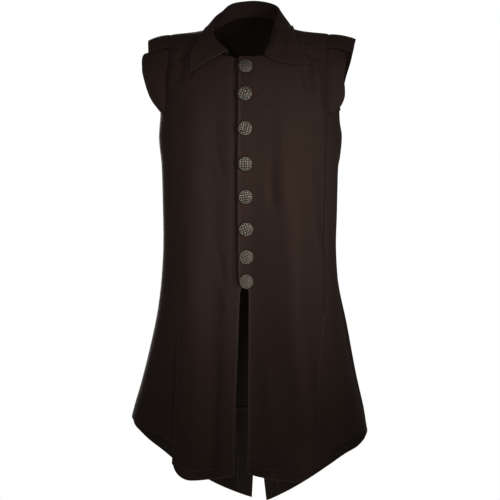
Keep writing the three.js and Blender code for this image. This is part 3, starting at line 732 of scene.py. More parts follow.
def places_across(total, columns):
    """Distances from the start of rows whose lengths are given, close together at both ends."""
    total = np.asarray(total, float)[:, None]
    share = np.linspace(0, 1, columns - 2 * len(EDGE_STEPS) + 2)[1:-1]
    inner = EDGE_STEPS[-1] + (total - 2 * EDGE_STEPS[-1]) * share
    return np.concatenate([np.broadcast_to(EDGE_STEPS, (len(total), len(EDGE_STEPS))), inner,
                           total - EDGE_STEPS[::-1]], 1)


def even_rows(side, place_at, columns):
    """Spread each row's points by real length: place_at(t) gives angle and climb at shares t."""
    t = np.linspace(0, 1, 41)
    run = lengths(form_point(side, *place_at(t[None, :])), 1)
    wanted = places_across(run[:, -1], columns)
    shares = np.array([np.interp(wanted[k], run[k], t) for k in range(len(run))])
    return np.stack(place_at(shares), -1)


# %% Rows up the body


def through(values, parts):
    """Monotone smooth curve through values, split into parts between each two."""
    values = np.asarray(values, float)
    steps = np.diff(values)
    product = steps[:-1] * steps[1:]
    inner = np.where(product > 0, 2 * product / np.where(product > 0, steps[:-1] + steps[1:], 1), 0)
    slopes = np.concatenate([[steps[0]], inner, [steps[-1]]])
    at = np.linspace(0, len(values) - 1, (len(values) - 1) * parts + 1)
    i = np.minimum(at.astype(int), len(values) - 2)
    t = at - i
    return (values[i] * (1 + 2 * t) * (1 - t) ** 2 + values[i + 1] * (3 - 2 * t) * t * t
            + slopes[i] * t * (1 - t) ** 2 + slopes[i + 1] * t * t * (t - 1))


def climbing_rows(ends, parts):
    """Rows above the underarm, between levels whose ends are (angle, climb, angle, climb)."""
    columns = [through(values, parts)[:, None] for values in zip(*ends)]
    start_angle, start_climb, end_angle, end_climb = columns

    def place_at(t):
        return start_angle + (end_angle - start_angle) * t, start_climb + (end_climb - start_climb) * t
    return place_at


SEWN_ROWS, SKIRT_ROWS = 12, 9  # rows of the plain solids above the slit's top and below it
ROW_HEIGHT = 33.0  # about one of those rows
SEAM_TURN = -0.15 / BODY_RADIUS  # two edges at a seam press into each other a little
SLIT_BLEND, VENT_BLEND = 8, 6  # a seam ends over this run at the top of a slit or vent


def skirt_climb(row, hem_level):
    """Climb of a row, from the underarm (0) down to the hem (SEWN_ROWS + SKIRT_ROWS)."""
    sewn = (SLIT_TOP - UNDERARM) * row / SEWN_ROWS
    share = (row - SEWN_ROWS) / SKIRT_ROWS
    return np.where(row <= SEWN_ROWS, sewn, SLIT_TOP + (hem_level - SLIT_TOP) * share - UNDERARM)


def rows_from_hem():
    """Row numbers from the hem up to just below the underarm."""
    last = SEWN_ROWS + SKIRT_ROWS
    near_hem = last - HEM_STEPS / ROW_HEIGHT
    rest = np.linspace(near_hem[-1], 0, int(near_hem[-1] * ROW_HEIGHT / SPACING))[1:-1]
    return np.concatenate([near_hem, rest])


def past_slit(rows):
    """0 down to the slit's top, and 1 from a fifth of the way below it."""
    return np.clip((rows - SEWN_ROWS) / SKIRT_ROWS * 5, 0, 1)


def sewn_above(level, top, blend):
    """1 above the top of a slit, 0 below it."""
    return smooth_step(top - blend, top + blend, level)


print("rows from the hem to the underarm:", len(rows_from_hem()))

# %% [markdown]
# ## The two fronts
# A front runs from the middle to the side seam. Its front edge is turned back and topstitched,
# the skirt's side edge is turned as well, and the hem is turned up. It could be cut flat and
# bent round by a modifier, but its seams would then miss their neighbours. Here every row of
# points is laid straight on the form, between the two edges at its level. The wearer's left
# front lies over the right one, so it is raised near the middle by the thickness of what it
# covers, and the right one sinks in beside its edge.

# %% Lines of the fronts
FRONT_RISE = [  # neck x, neck level, armhole x, armhole level; None follows the front edge
    (None, -140, 162, -148), (None, -112, 161, -128), (None, -84, 160, -108),
    (None, -57, 159, -90), (14, -57.5, 158, -74), (36, -55, 158, -60),
    (57, -50, 158, -50), (72, SHOULDER_SEAM, 158, SHOULDER_SEAM),
]
RISE_PARTS = 7  # rows to each of those levels
NECK_CORNER, NECK_ROUND = 4 * RISE_PARTS, 3  # its row above the underarm, and rows to either side
FRONT_COLUMNS = 76
FRONT_LOW = -885  # level of the hem at its lowest
FRONT_BAND = 26.0  # cloth turned in behind the front edge
# Beside the slit the back runs on under the front, and the front a little over the back.
BACK_LAP, FRONT_LAP = 3.5, 0.5
BUTTONED = (-512, -490)  # levels over which the fronts close
COVERS = (18, 60)  # distances over which the left front comes down to the form
# How far the right front sinks and the left one's edge rolls up, at which distance, how wide.
PLACKET_SINK, PLACKET_OUT, PLACKET_WIDTH = 7.0, 18.0, 6.0
EDGE_ROLL, EDGE_OUT, EDGE_WIDTH = 1.4, -13.0, 5.0


def seam_out(side, level):
    return along(BODY, "level", f"seam_{SIDE_NAMES[side]}", level)


def overlap_lift(side, out, level=0.0):
    """The left front is raised over the right one, which sinks in beside its edge."""
    closed = smooth_step(*BUTTONED, level)
    if side == LEFT:
        roll = EDGE_ROLL * closed * np.exp(-(((out - EDGE_OUT) / EDGE_WIDTH) ** 2))
        return (CLOTH + SEAM_GAP) * (1 - smooth_step(*COVERS, out)) + roll
    return -PLACKET_SINK * closed * np.exp(-(((out - PLACKET_OUT) / PLACKET_WIDTH) ** 2))


def front_places(side):
    """Angle and climb of every point of the grid, from the hem up."""
    rows = rows_from_hem()[:, None]
    edge = FRONT_EDGE[side]
    level = UNDERARM + skirt_climb(rows, FRONT_LOW)
    seam_climb = skirt_climb(rows, along(FRONT_HEM, "out", "level", FRONT_CORNER))
    seam = seam_out(side, UNDERARM + seam_climb) + FRONT_LAP * past_slit(rows)
    start = angle_at(along(edge, "level", "out", level), level - UNDERARM)
    end = angle_at(seam, seam_climb) - SEAM_TURN

    def skirt(t):
        angle = start + (end - start) * t
        out = side * form_point(side, angle, level - UNDERARM)[..., 0]
        hem = along(FRONT_HEM, "out", "level", np.minimum(out, FRONT_CORNER))
        return angle, skirt_climb(rows, hem)

    ends = [(float(angle_at(along(edge, "level", "out", UNDERARM), 0)), 0.0,
             float(angle_at(seam_out(side, UNDERARM), 0) - SEAM_TURN), 0.0)]
    for neck, neck_level, arm, arm_level in FRONT_RISE:
        x = along(edge, "level", "out", neck_level) if neck is None else neck
        ends.append((float(angle_at(x, 0)), float(climb_to(neck_level, x)),
                     float(angle_at(arm, 0)), float(climb_to(arm_level, arm))))
    parts = (skirt, climbing_rows(ends, RISE_PARTS))
    return np.concatenate([even_rows(side, part, FRONT_COLUMNS) for part in parts])


print("a front has", FRONT_COLUMNS, "points in each of",
      len(rows_from_hem()) + len(FRONT_RISE) * RISE_PARTS + 1, "rows")

# %% Fronts


def front(side, name):
    places = front_places(side)
    points, normals = cloth_and_normals(side, places[..., 0], places[..., 1])
    underarm = len(rows_from_hem())
    row = np.arange(len(places))[:, None] - underarm
    neckline = smooth_step(NECK_CORNER - NECK_ROUND, NECK_CORNER + NECK_ROUND, row)
    sewn_side = sewn_above(points[:, -1:, 2], SLIT_TOP, SLIT_BLEND)
    rise, wall, marks = finish_edges(points, {
        "start": (0.6 * neckline, 1 - neckline, FRONT_BAND, EDGE_STITCH, 1.0),
        "end": (sewn_side * SIDE_SEAM[side], 1 - sewn_side, EDGE_BAND, EDGE_STITCH, SIDE_RUB_AND_SHADE[side]),
        "hem": (0, 1, HEM_BAND, HEM_STITCH, 0.25),
        "top": (0.15, 0, EDGE_BAND, EDGE_STITCH, 0.8),
    })
    lift = overlap_lift(side, side * points[..., 0], points[..., 2])
    outer = points + normals * (rise + lift)[..., None]
    inner = points + normals * (lift - wall)[..., None]
    last_slit_row = int(np.flatnonzero(points[:, 0, 2] < SLIT_TOP)[-1])
    stitch_line(outer, EDGE_STITCH, "start", slice(0, underarm + 3 * RISE_PARTS))
    stitch_line(outer, HEM_STITCH, "hem", slice(4, -3))
    stitch_line(outer, EDGE_STITCH, "end", slice(6, last_slit_row))
    cloth_piece(f"{name}_front", outer, inner, marks)


for side, name in SIDE_NAMES.items():
    front(side, name)

# %% [markdown]
# ## The back, in two halves
# Each half of the back starts at the side seam, runs round to the centre seam and climbs over
# the shoulder to a seam that lies in front. Below, its hem rises at the side and drops to a
# shirt tail with a vent. It is laid on the form like a front. It could be one piece with the
# front, but the seam between them is what a tailor sews, and the creases turn there.

# %% Lines of the backs
BACK_RISE = [  # neck x, neck climb, armhole x or angle, armhole climb
    (0, 5.5, ("angle", 80), 1.5), (0, 12, ("angle", 96), 3.5), (0, 20, ("angle", 107), 8.5),
    (0, 28.5, ("x", 166), 16), (0, 37, ("x", 162.5), 26), (0, 46.5, ("x", 160), 39),
    (35, 52, ("x", 159), 54), (60, 66, ("x", 158), 68), (74, 75, ("x", 158), 80),
    (79, 90, ("x", 158), 90), (78, 104, ("x", 158), 101), (76, 117, ("x", 158), 112),
]
BACK_PARTS = 9  # rows to each of those levels
BACK_COLUMNS = 112
CENTRE_TURN = SEAM_TURN * 1.5
SHOULDER_STITCH = 3.0
SLIT_SINK, SINK_SHARE = 2.4, 0.2  # the slit's edge lies in, over this share of the width


def arm_angle(measure, arm):
    """Angle of the armhole's edge, given in degrees or as a distance out on the back."""
    return math.radians(arm) if measure == "angle" else float(angle_at(arm, 0, True))


def back_hem(side, angle):
    return along(BACK_HEM, "angle", SIDE_NAMES[side], np.degrees(angle))


def vent_half(side, level):
    """Distance from the middle to the vent's edge."""
    return VENT_HALF[side] * np.clip((VENT_TOP - level) / (VENT_TOP - VENT_HEM), 0, None)


def back_places(side):
    """Angle and climb of every point of the grid, from the hem up."""
    rows = rows_from_hem()[:, None]
    seam_climb = skirt_climb(rows, BACK_HEM[SIDE_NAMES[side]][0])
    seam = seam_out(side, UNDERARM + seam_climb) - BACK_LAP * past_slit(rows)
    start = angle_at(seam, seam_climb) + SEAM_TURN
    vent_climb = skirt_climb(rows, VENT_HEM)
    end = angle_at(vent_half(side, UNDERARM + vent_climb), vent_climb, True) - CENTRE_TURN

    def skirt(t):
        angle = start + (end - start) * t
        return angle, skirt_climb(rows, back_hem(side, angle))

    ends = [(float(angle_at(seam_out(side, UNDERARM), 0) + SEAM_TURN), 0.0, math.pi - CENTRE_TURN, 0.0)]
    for neck, neck_climb, (measure, arm), arm_climb in BACK_RISE:
        at_neck = float(angle_at(neck, 0, True)) - (CENTRE_TURN if neck == 0 else 0)
        ends.append((arm_angle(measure, arm), arm_climb, at_neck, neck_climb))
    neck, arm = FRONT_RISE[-1][0], FRONT_RISE[-1][2]
    trim = math.degrees(SEAM_TURN)
    ends.append((float(angle_at(arm, 0, True)), 180 - float(climb_to(SHOULDER_SEAM, arm)) - trim,
                 float(angle_at(neck, 0, True)), 180 - float(climb_to(SHOULDER_SEAM, neck)) - trim))
    parts = (skirt, climbing_rows(ends, BACK_PARTS))
    return np.concatenate([even_rows(side, part, BACK_COLUMNS) for part in parts])


print("vent is", sum(VENT_HALF.values()), "mm wide at the hem")

# %% Backs


def back(side, name):
    places = back_places(side)
    points, normals = cloth_and_normals(side, places[..., 0], places[..., 1])
    sewn_side = sewn_above(points[:, :1, 2], SLIT_TOP, SLIT_BLEND)
    vent = 1 - sewn_above(points[:, -1:, 2], VENT_TOP, VENT_BLEND)
    rise, wall, marks = finish_edges(points, {
        "start": (sewn_side * SIDE_SEAM[side], 1 - sewn_side, EDGE_BAND, EDGE_STITCH, SIDE_RUB_AND_SHADE[side]),
        "end": (1 - vent, vent * 0.15, EDGE_BAND, EDGE_STITCH, 0.7),
        "hem": (0, 1, HEM_BAND, HEM_STITCH, 0.3),
        "top": (0.15, 0, EDGE_BAND, EDGE_STITCH, 0.8),
    })
    slit = np.clip((rows_from_hem() - SEWN_ROWS) / SKIRT_ROWS, 0, None)
    slit = np.concatenate([slit, np.zeros(len(places) - len(slit))])[:, None]
    run = lengths(points, 1)
    near_slit = 1 - smooth_step(0, SINK_SHARE, run / run[:, -1:])
    sink = SLIT_SINK * np.minimum(1, slit * 2) * near_slit
    outer = points + normals * (rise - sink)[..., None]
    inner = points + normals * (-sink - wall)[..., None]
    last_slit_row = int(np.flatnonzero(points[:, 0, 2] < SLIT_TOP)[-1])
    stitch_line(outer, HEM_STITCH, "hem", slice(4, -3))
    stitch_line(outer, EDGE_STITCH, "start", slice(6, last_slit_row))
    stitch_line(outer, SHOULDER_STITCH, "top", slice(2, -2))
    cloth_piece(f"back_{name}", outer, inner, marks)


for side, name in SIDE_NAMES.items():
    back(side, name)

# %% [markdown]
# ## The collar
# The collar is one band that stands up from the neckline, folds over, and lies down on the
# shoulders with two points in front. It is laid out by stations round the neck. Each gives the
# seam, the top of the fold and the outer edge. Smooth lines run through them, and the section
# between them is a straight stand, a half-round fold and a leaf that bows out a little. Stand
# and leaf could be two pieces, but then the fold would have to be joined by hand.

# %% Stations of the collar
COLLAR_SEAM = [  # neck x, then a level in front or a climb over the shoulder
    (36, "level", -55), (57, "level", -50), (72, "level", SHOULDER_SEAM), (76, "climb", 61),
    (78, "climb", 76), (79, "climb", 90), (74, "climb", 105), (60, "climb", 114),
    (35, "climb", 128), (0, "climb", 133.5),
]
COLLAR_RIGHT = [  # fold and outer edge of the leaf
    ((-35, -88, -46), (-108, -92, -88)), ((-55, -68, -30), (-107, -78, -50)),
    ((-68, -48, -14), (-99, -58, -27)), ((-73, -26, -1), (-89, -38, -10)),
    ((-71, -6, 12), (-83, -18, -1)), ((-67, 14, 24), (-79, 10, 0)),
    ((-55, 36, 37), (-73, 46, -2)), ((-48, 54, 46.5), (-62, 72, 0)),
    ((-36, 68, 53), (-44, 86, 8)), ((0, 78, 57.5), (0, 93, 12)),
]
COLLAR_LEFT = [
    ((37, -93, -54), (127, -85, -72)), ((43, -71, -39), (113, -75, -54)),
    ((46, -48, -20), (100, -62, -36)), ((48, -28, -2), (94, -42, -14)),
    ((51, -8, 13), (89, -22, -4)), ((54, 12, 26), (84, 6, 0)),
    ((53, 34, 37), (77, 46, -2)), ((46, 54, 46.5), (63, 72, 0)),
    ((30, 68, 53), (42, 86, 8)), ((0, 78, 57.5), (0, 93, 12)),
]
FRONT_STATIONS = 3  # those whose seam lies on the front
STAND_OFFSET = 1.6  # the stand is sewn in a little inside the neckline
STAND_SHARES = (0, 0.05, 0.12, 0.25, 0.4, 0.55, 0.7, 0.85)
FOLD_RADIUS, FOLD_TURNS = 2.8, np.radians(np.arange(0, 181, 22.5))
LEAF_SHARES = (0.08, 0.17, 0.27, 0.38, 0.5, 0.6, 0.7, 0.78, 0.84, 0.88, 0.91, 0.94, 0.97, 1)
LEAF_BOW, LEAF_WAVE = 4, 0.9
LEAF_SAG = 9.0  # of the left leaf's front edge
COLLAR_CLEARANCE, SHOULDER_ARCH = 4.0, 120  # above the shoulder's arch, of about this radius
COLLAR_ROUND = 300  # steps round the neck
COLLAR_ENDS = (0, 0.0008, 0.0016)  # closer steps at the two points
COLLAR_CREASES = table("from_x from_z to_x to_z width push", [
    (72, -8, 66, -52, 6, 4.5),  # the left leaf bends away beside its roll
    (52, -16, 58, -54, 9, -2.5),
    (84, -24, 126, -72, 6, -3.5),  # and its outer edge stands up
    (-78, -52, -60, -62, 8, -2.0),
    (-92, -40, -88, -70, 9, 1.6),
])
print("stations round the neck:", len(COLLAR_RIGHT) + len(COLLAR_LEFT) - 1)

# %% Seam and creases of the collar


def curve_through(points, shares):
    """Centripetal curve through points, read at shares of its run by point number."""
    points = np.asarray(points, float)
    padded = np.vstack([2 * points[0] - points[1], points, 2 * points[-1] - points[-2]])
    at = np.clip(np.asarray(shares, float) * (len(points) - 1), 0, len(points) - 1)
    i = np.minimum(at.astype(int), len(points) - 2)
    t = (at - i)[:, None]
    p0, p1, p2, p3 = (padded[i + k] for k in range(4))
    gap = [np.linalg.norm(b - a, axis=1, keepdims=True) ** 0.5 for a, b in ((p0, p1), (p1, p2), (p2, p3))]
    leave = (p1 - p0) / gap[0] - (p2 - p0) / (gap[0] + gap[1]) + (p2 - p1) / gap[1]
    arrive = (p2 - p1) / gap[1] - (p3 - p1) / (gap[1] + gap[2]) + (p3 - p2) / gap[2]
    leave, arrive = leave * gap[1], arrive * gap[1]
    return (p1 * (1 + 2 * t) * (1 - t) ** 2 + p2 * (3 - 2 * t) * t * t
            + leave * t * (1 - t) ** 2 + arrive * t * t * (t - 1))


def neck_place(x, kind, value):
    climb = float(climb_to(value, x)) if kind == "level" else value
    if climb <= 90:
        return float(angle_at(x, 0)), climb
    return float(angle_at(x, 0, True)), 180 - climb


def collar_seam(side):
    """Where the stand is sewn in, a little inside the neckline."""
    places = np.array([neck_place(*row) for row in COLLAR_SEAM])
    seams, normals = cloth_and_normals(side, places[:, 0], places[:, 1])
    after = np.vstack([seams[1:], seams[-2] * (-1, 1, 1)])
    tangent = unit(after - np.vstack([seams[0], seams[:-1]]))
    inward = unit(np.cross(normals, tangent))
    middle = np.stack([-seams[:, 0], -5 - seams[:, 1], np.full(len(seams), 40.0)], -1)
    inward = np.where(((inward * middle).sum(-1) < 0)[:, None], -inward, inward)
    raised = np.array([overlap_lift(side, float(row[0])) for row in COLLAR_SEAM])
    raised[FRONT_STATIONS:] = 0
    return seams + normals * (raised - CLOTH / 2)[:, None] + inward * STAND_OFFSET


def clear_of_shoulder(points):
    """Push the leaf out of the shoulder's arch."""
    half, front_depth, back_depth = section_at(0)
    x, y, z = points[..., 0], points[..., 1], points[..., 2]
    depth = depth_at(half, x, np.where(y < 0, front_depth, back_depth))
    share = np.hypot(y / depth, (z - UNDERARM) / (shoulder_top(x) - UNDERARM))
    grow = np.maximum((1 + COLLAR_CLEARANCE / SHOULDER_ARCH) / share, 1)
    return np.stack([x, y * grow, UNDERARM + (z - UNDERARM) * grow], -1)


def collar_push(points):
    """How far the leaf's creases push its points back."""
    x, y, z = points[..., 0], points[..., 1], points[..., 2]
    push = np.zeros(x.shape)
    for from_x, from_z, to_x, to_z, width, depth in zip(*COLLAR_CREASES.values()):
        run_x, run_z = to_x - from_x, to_z - from_z
        length = math.hypot(run_x, run_z)
        t = ((x - from_x) * run_x + (z - from_z) * run_z) / length ** 2
        away = ((x - from_x) * run_z - (z - from_z) * run_x) / length
        ends = smooth_step(-0.25, 0.2, t) * (1 - smooth_step(0.8, 1.25, t))
        push += depth * ends * np.exp(-((away / width) ** 2))
    return push * smooth_step(0, 25, -y)


def sheet_normals(middle):
    across = np.gradient(middle, axis=1)
    up = np.gradient(middle, axis=0)
    return unit(np.cross(across, up))


# %% Collar


def collar_middle():
    """Middle of the cloth, from the stand's seam over the fold to the leaf's edge."""
    right = list(zip(collar_seam(RIGHT), *zip(*COLLAR_RIGHT)))
    left = list(zip(collar_seam(LEFT), *zip(*COLLAR_LEFT)))[:-1][::-1]
    stations = [np.array(line, float) for line in zip(*(right + left))]
    shares = np.linspace(0, 1, COLLAR_ROUND + 1)
    shares = np.concatenate([COLLAR_ENDS, shares[1:-1], 1 - np.array(COLLAR_ENDS[::-1])])
    spans = len(stations[0]) - 1
    k = np.minimum((shares * spans).astype(int), spans - 1)
    t = (shares * spans - k)[:, None]
    seam = stations[0][k] * (1 - t) + stations[0][k + 1] * t
    fold, edge = curve_through(stations[1], shares), curve_through(stations[2], shares)
    up = unit(fold - seam)
    out = unit(fold * (1, 1, 0) + (0, 5, 0))
    rows = [seam + (fold - seam) * s for s in STAND_SHARES]
    for turn in FOLD_TURNS:
        rows.append(fold + out * FOLD_RADIUS * (1 - math.cos(turn)) + up * FOLD_RADIUS * math.sin(turn))
    lip = rows[-1]
    # two waves that don't keep step, so the edge lies unevenly
    wave = LEAF_WAVE * np.sin(shares * 37.0) * np.sin(shares * 11.0 + 0.7)
    sag = LEAF_SAG * np.exp(-(((1 - shares) * spans / 0.9) ** 2))
    for s in LEAF_SHARES:
        bow = LEAF_BOW * math.sin(math.pi * s) + wave * s
        leaf_row = clear_of_shoulder(lip + (edge - lip) * s + out * bow[:, None])
        leaf_row[:, 1] += collar_push(leaf_row) * min(1.0, 3 * s)
        leaf_row[:, 2] -= sag * math.sin(math.pi * s ** 0.8)
        rows.append(leaf_row)
    fall = np.linalg.norm(edge - lip, axis=1)
    print("leaf is", round(float(fall.min())), "to", round(float(fall.max())), "mm wide")
    return np.stack(rows, 1)


def collar():
    middle = collar_middle()
    normals = sheet_normals(middle)
    if (normals[COLLAR_ROUND // 2, 0] * (0, -1, 0)).sum() < 0:
        normals = -normals
    rise, wall, marks = finish_edges(middle, {
        "end": (0, 1, EDGE_BAND, EDGE_STITCH, 0.6),
        "hem": (0, 1, EDGE_BAND, EDGE_STITCH, 0.6),
        "top": (0, 1, EDGE_BAND, EDGE_STITCH, 0.25),
    })
    # the stand's inside is the right side, so the right side runs over the fold to the leaf's top
    outer = middle + normals * (WALL / 2 + rise)[..., None]
    inner = middle + normals * (WALL / 2 - wall)[..., None]
    leaf = slice(len(STAND_SHARES) + len(FOLD_TURNS), None)
    stitch_line(outer, EDGE_STITCH, "end", slice(6, -6))
    stitch_line(outer[:, leaf], EDGE_STITCH, "hem", slice(2, -4))
    stitch_line(outer[:, leaf], EDGE_STITCH, "top", slice(2, -4))
    cloth_piece("collar", outer, inner, marks)


collar()

# %% [markdown]
# ## Wing caps
# Four caps stand out round the armholes, a front and a back one on each side. Each grows from
# the armhole's edge, is widest near the shoulder and dies away at the underarm. They are plain
# single cloth with a turned edge, and bow down a little under their own weight. A sculpted
# brim would be quick, but its seam would gape. So each cap starts with rows that lie under the
# panel, follows the armhole's own line, and reaches out by a table of widths.

# %% Sizes of the wing caps
WINGS = {
    "front": table("down reach drop", [
        (0, 48, 9), (0.12, 52, 7), (0.32, 52, 4), (0.5, 48, 3), (0.75, 32, 3), (0.92, 15, 3),
        (1, 6, 3),
    ]),
    "back": table("down reach drop", [
        (0, 46, 11), (0.2, 50, 11), (0.5, 47, 7), (0.67, 38, 4), (0.78, 27, 3), (0.92, 14, 3),
        (1, 3.5, 3), (1.2, 1.6, 2),
    ]),
}
WING_SPREAD = {  # share of the reach at the shoulder and at the underarm
    ("front", RIGHT): (1.04, 1.2), ("front", LEFT): (0.68, 1.3),
    ("back", RIGHT): (0.88, 0.88), ("back", LEFT): (1.06, 1.0),
}
WING_LEAN = {"front": 10.0, "back": -6.0}  # how far the edge leans to the back
WING_ROOT = 1.5  # distance out of the first free row
WING_TOP, WING_END = 0.012, {"front": 1.0, "back": 1.2}  # from the shoulder seam down
WING_WAVE, WING_WAVES = 0.8, 14  # height of the wave along the edge, and how fast it comes
WING_PUFF, PUFF_OUT, PUFF_WIDTH = {LEFT: 1.2, RIGHT: 0.4}, 9.0, 6.0  # a swell beside the seam
WING_STEPS = 64
WING_SHARES = np.array([
    0.03, 0.07, 0.13, 0.2, 0.3, 0.4, 0.5, 0.6, 0.7, 0.78, 0.84, 0.88, 0.91, 0.94, 0.97, 1,
])
WING_TUCK = [(5.0, 3.6), (3.0, 3.4), (1.2, 2.9)]  # distance in from the edge, depth under the cloth
WING_BAND, TAPER_BAND = 8.0, 6.0  # turned width at the outer edge and at the two ends
print("widest caps reach", {kind: float(WINGS[kind]["reach"].max()) for kind in WINGS}, "mm")

# %% Wing caps


def armhole_places(side, kind):
    """Angle and climb of the armhole's edge, from the shoulder seam down."""
    if kind == "front":
        rows = [(float(angle_at(seam_out(side, UNDERARM), 0) - SEAM_TURN), 0.0)]
        rows += [(float(angle_at(arm, 0)), float(climb_to(level, arm))) for _, _, arm, level in FRONT_RISE]
        rows[-1] = (rows[-1][0], rows[-1][1] - math.degrees(SEAM_TURN))
        return np.array(rows[::-1])
    rows = [(arm_angle(*at), climb) for _, _, at, climb in BACK_RISE]
    arm = FRONT_RISE[-1][2]
    rows.append((float(angle_at(arm, 0, True)),
                 180 - float(climb_to(SHOULDER_SEAM, arm)) - math.degrees(SEAM_TURN)))
    return np.array(rows[::-1])


def under_panel(side, kind, places, step_in, depth):
    """Line under the panel's edge, a little in from it."""
    sign = 1 if kind == "back" else -1
    angle = places[:, 0] + sign * step_in / BODY_RADIUS
    points, normals = cloth_and_normals(side, angle, places[:, 1])
    return points - normals * depth


def wing(side, name, kind):
    places = armhole_places(side, kind)
    down = np.linspace(WING_TOP, WING_END[kind], WING_STEPS)
    start, *tucked = (
        curve_through(under_panel(side, kind, places, step_in, depth), down / WING_END[kind])
        for step_in, depth in [(0, CLOTH / 2), *WING_TUCK]
    )
    high, low = WING_SPREAD[kind, side]
    reach = along(WINGS[kind], "down", "reach", down) * (high + (low - high) * smooth_step(0.5, 1, down))
    drop = along(WINGS[kind], "down", "drop", down)
    out = WING_ROOT + (reach[:, None] - WING_ROOT) * WING_SHARES
    bend = WING_SHARES ** 2
    # the side and the kind shift the wave, so no two caps are alike
    wave = WING_WAVE * np.sin(down * WING_WAVES + side + len(kind))[:, None] * WING_SHARES
    puff = WING_PUFF[side] * np.exp(-(((out - PUFF_OUT) / PUFF_WIDTH) ** 2))
    backward = WING_LEAN[kind] * bend + wave + (-puff if kind == "front" else puff)
    shift = np.stack([side * out, backward, -drop[:, None] * bend - 0.5 * wave], -1)
    middle = np.concatenate([np.stack(tucked, 1), start[:, None] + shift], 1)
    normals = sheet_normals(middle)
    upward = (0, -1, 0.5) if kind == "front" else (0, 1, 0.5)
    if (normals[WING_STEPS // 3, 8] * upward).sum() < 0:
        normals = -normals
    rise, wall, marks = finish_edges(middle, {
        "end": (0, 1, WING_BAND, EDGE_STITCH, 0.25),
        "hem": (0, 0.4, TAPER_BAND, EDGE_STITCH, 0.2),
        "top": (0, 0.4, TAPER_BAND, EDGE_STITCH, 0.2),
    })
    outer = middle + normals * (WALL / 2 + rise)[..., None]
    inner = middle + normals * (WALL / 2 - wall)[..., None]
    stitch_line(outer, EDGE_STITCH, "end", slice(3, -6))
    cloth_piece(f"wing_{kind}_{name}", outer, inner, marks, wrong_side_shade=0)


for side, name in SIDE_NAMES.items():
    for kind in ("front", "back"):
        wing(side, name, kind)

# %% [markdown]
# ## Facings of the back vent
# A narrow strip backs each edge of the vent, inside. It shows through the parted fronts, as a
# band with a row of stitches down its free edge and two rows across its top. It could be drawn
# on the back's inner face, but a real strip throws the thin shadow that makes it read. So it
# is laid on the same form as the back, a little inside it.

# %% Vent facings
FACING_WIDTH, FACING_CLOTH = 30.0, 0.9
FACING_FLARE = {LEFT: 0.0, RIGHT: 13.0}  # how much wider it is cut at the top
FACING_GAP, FACING_SHORT = 0.6, 12.0  # in from the vent's edge, and up from the hem
FACING_SLANT = 12  # its lower end rises by this to the free edge
FACING_LIFT = -1.7
FACING_RUB_AND_HIGHLIGHT, FACING_RUB_AND_HIGHLIGHT_WIDTH = 0.8, 0.06  # paleness of its free edge, partly a painted highlight, and the share of the width
FACING_STITCH, FACING_DIP, FACING_DIP_WIDTH = 3.0, 0.3, 1.2
# Rows of stitches: distance from which edge, and the part that is kept.
FACING_SEWN = ((FACING_STITCH, "end", slice(2, -2)), (4.0, "top", None), (9.0, "top", None))
FACING_ROWS = np.concatenate([
    [0, 0.008, 0.016], np.linspace(0.03, 0.93, 46), [0.95, 0.965, 0.98, 0.992, 1],
])
FACING_SHARES = np.array([[0, 0.05, 0.1, 0.2, 0.35, 0.5, 0.65, 0.78, 0.86, 0.9, 0.95, 1]])


def vent_facing(side, name):
    bottom = float(back_hem(side, math.pi)) + FACING_SHORT
    t, share = FACING_ROWS[:, None], FACING_SHARES
    level = bottom + (VENT_TOP - bottom) * t
    width = FACING_WIDTH + FACING_FLARE[side] * t
    out = vent_half(side, level) + FACING_GAP + width * share
    climb = level - UNDERARM + FACING_SLANT * share * (1 - smooth_step(0, 0.15, t))
    points, normals = cloth_and_normals(side, angle_at(out, climb, True), climb)
    # the free edge paler from rubbing, partly a painted highlight
    rub_and_highlight = FACING_RUB_AND_HIGHLIGHT * np.exp(-(((share - 1) / FACING_RUB_AND_HIGHLIGHT_WIDTH) ** 2))
    edge = width * (1 - share)
    sink = FACING_DIP * np.exp(-(((edge - FACING_STITCH) / FACING_DIP_WIDTH) ** 2))
    outer = points + normals * FACING_LIFT
    inner = points + normals * (FACING_LIFT - FACING_CLOTH + sink)[..., None]
    for gap, place, keep in FACING_SEWN:
        stitch_line(inner, gap, place, keep, "pale")
    marks = {"wear_and_highlight": np.broadcast_to(rub_and_highlight, out.shape)}
    cloth_piece(f"vent_facing_{name}", outer, inner, marks)


for side, name in SIDE_NAMES.items():
    vent_facing(side, name)

# %% [markdown]
# ## Topstitching
# Every turned edge is held by a row of short stitches, in thread that matches the cloth, or in a
# paler one on the facings. A stitch is a small round grain that lies along the seam. Thousands
# of them by hand would be slow, and a painted row would be flat. So Geometry Nodes set one at
# every pitch along the kept lines: the lines become curves, are cut into even steps, and carry
# the grains, each turned to the line's own direction.

# %% Tree of the stitches
STITCH_PITCH, STITCH_LENGTH, STITCH_RADIUS = 3.0 * MM, 2.2 * MM, 0.26 * MM


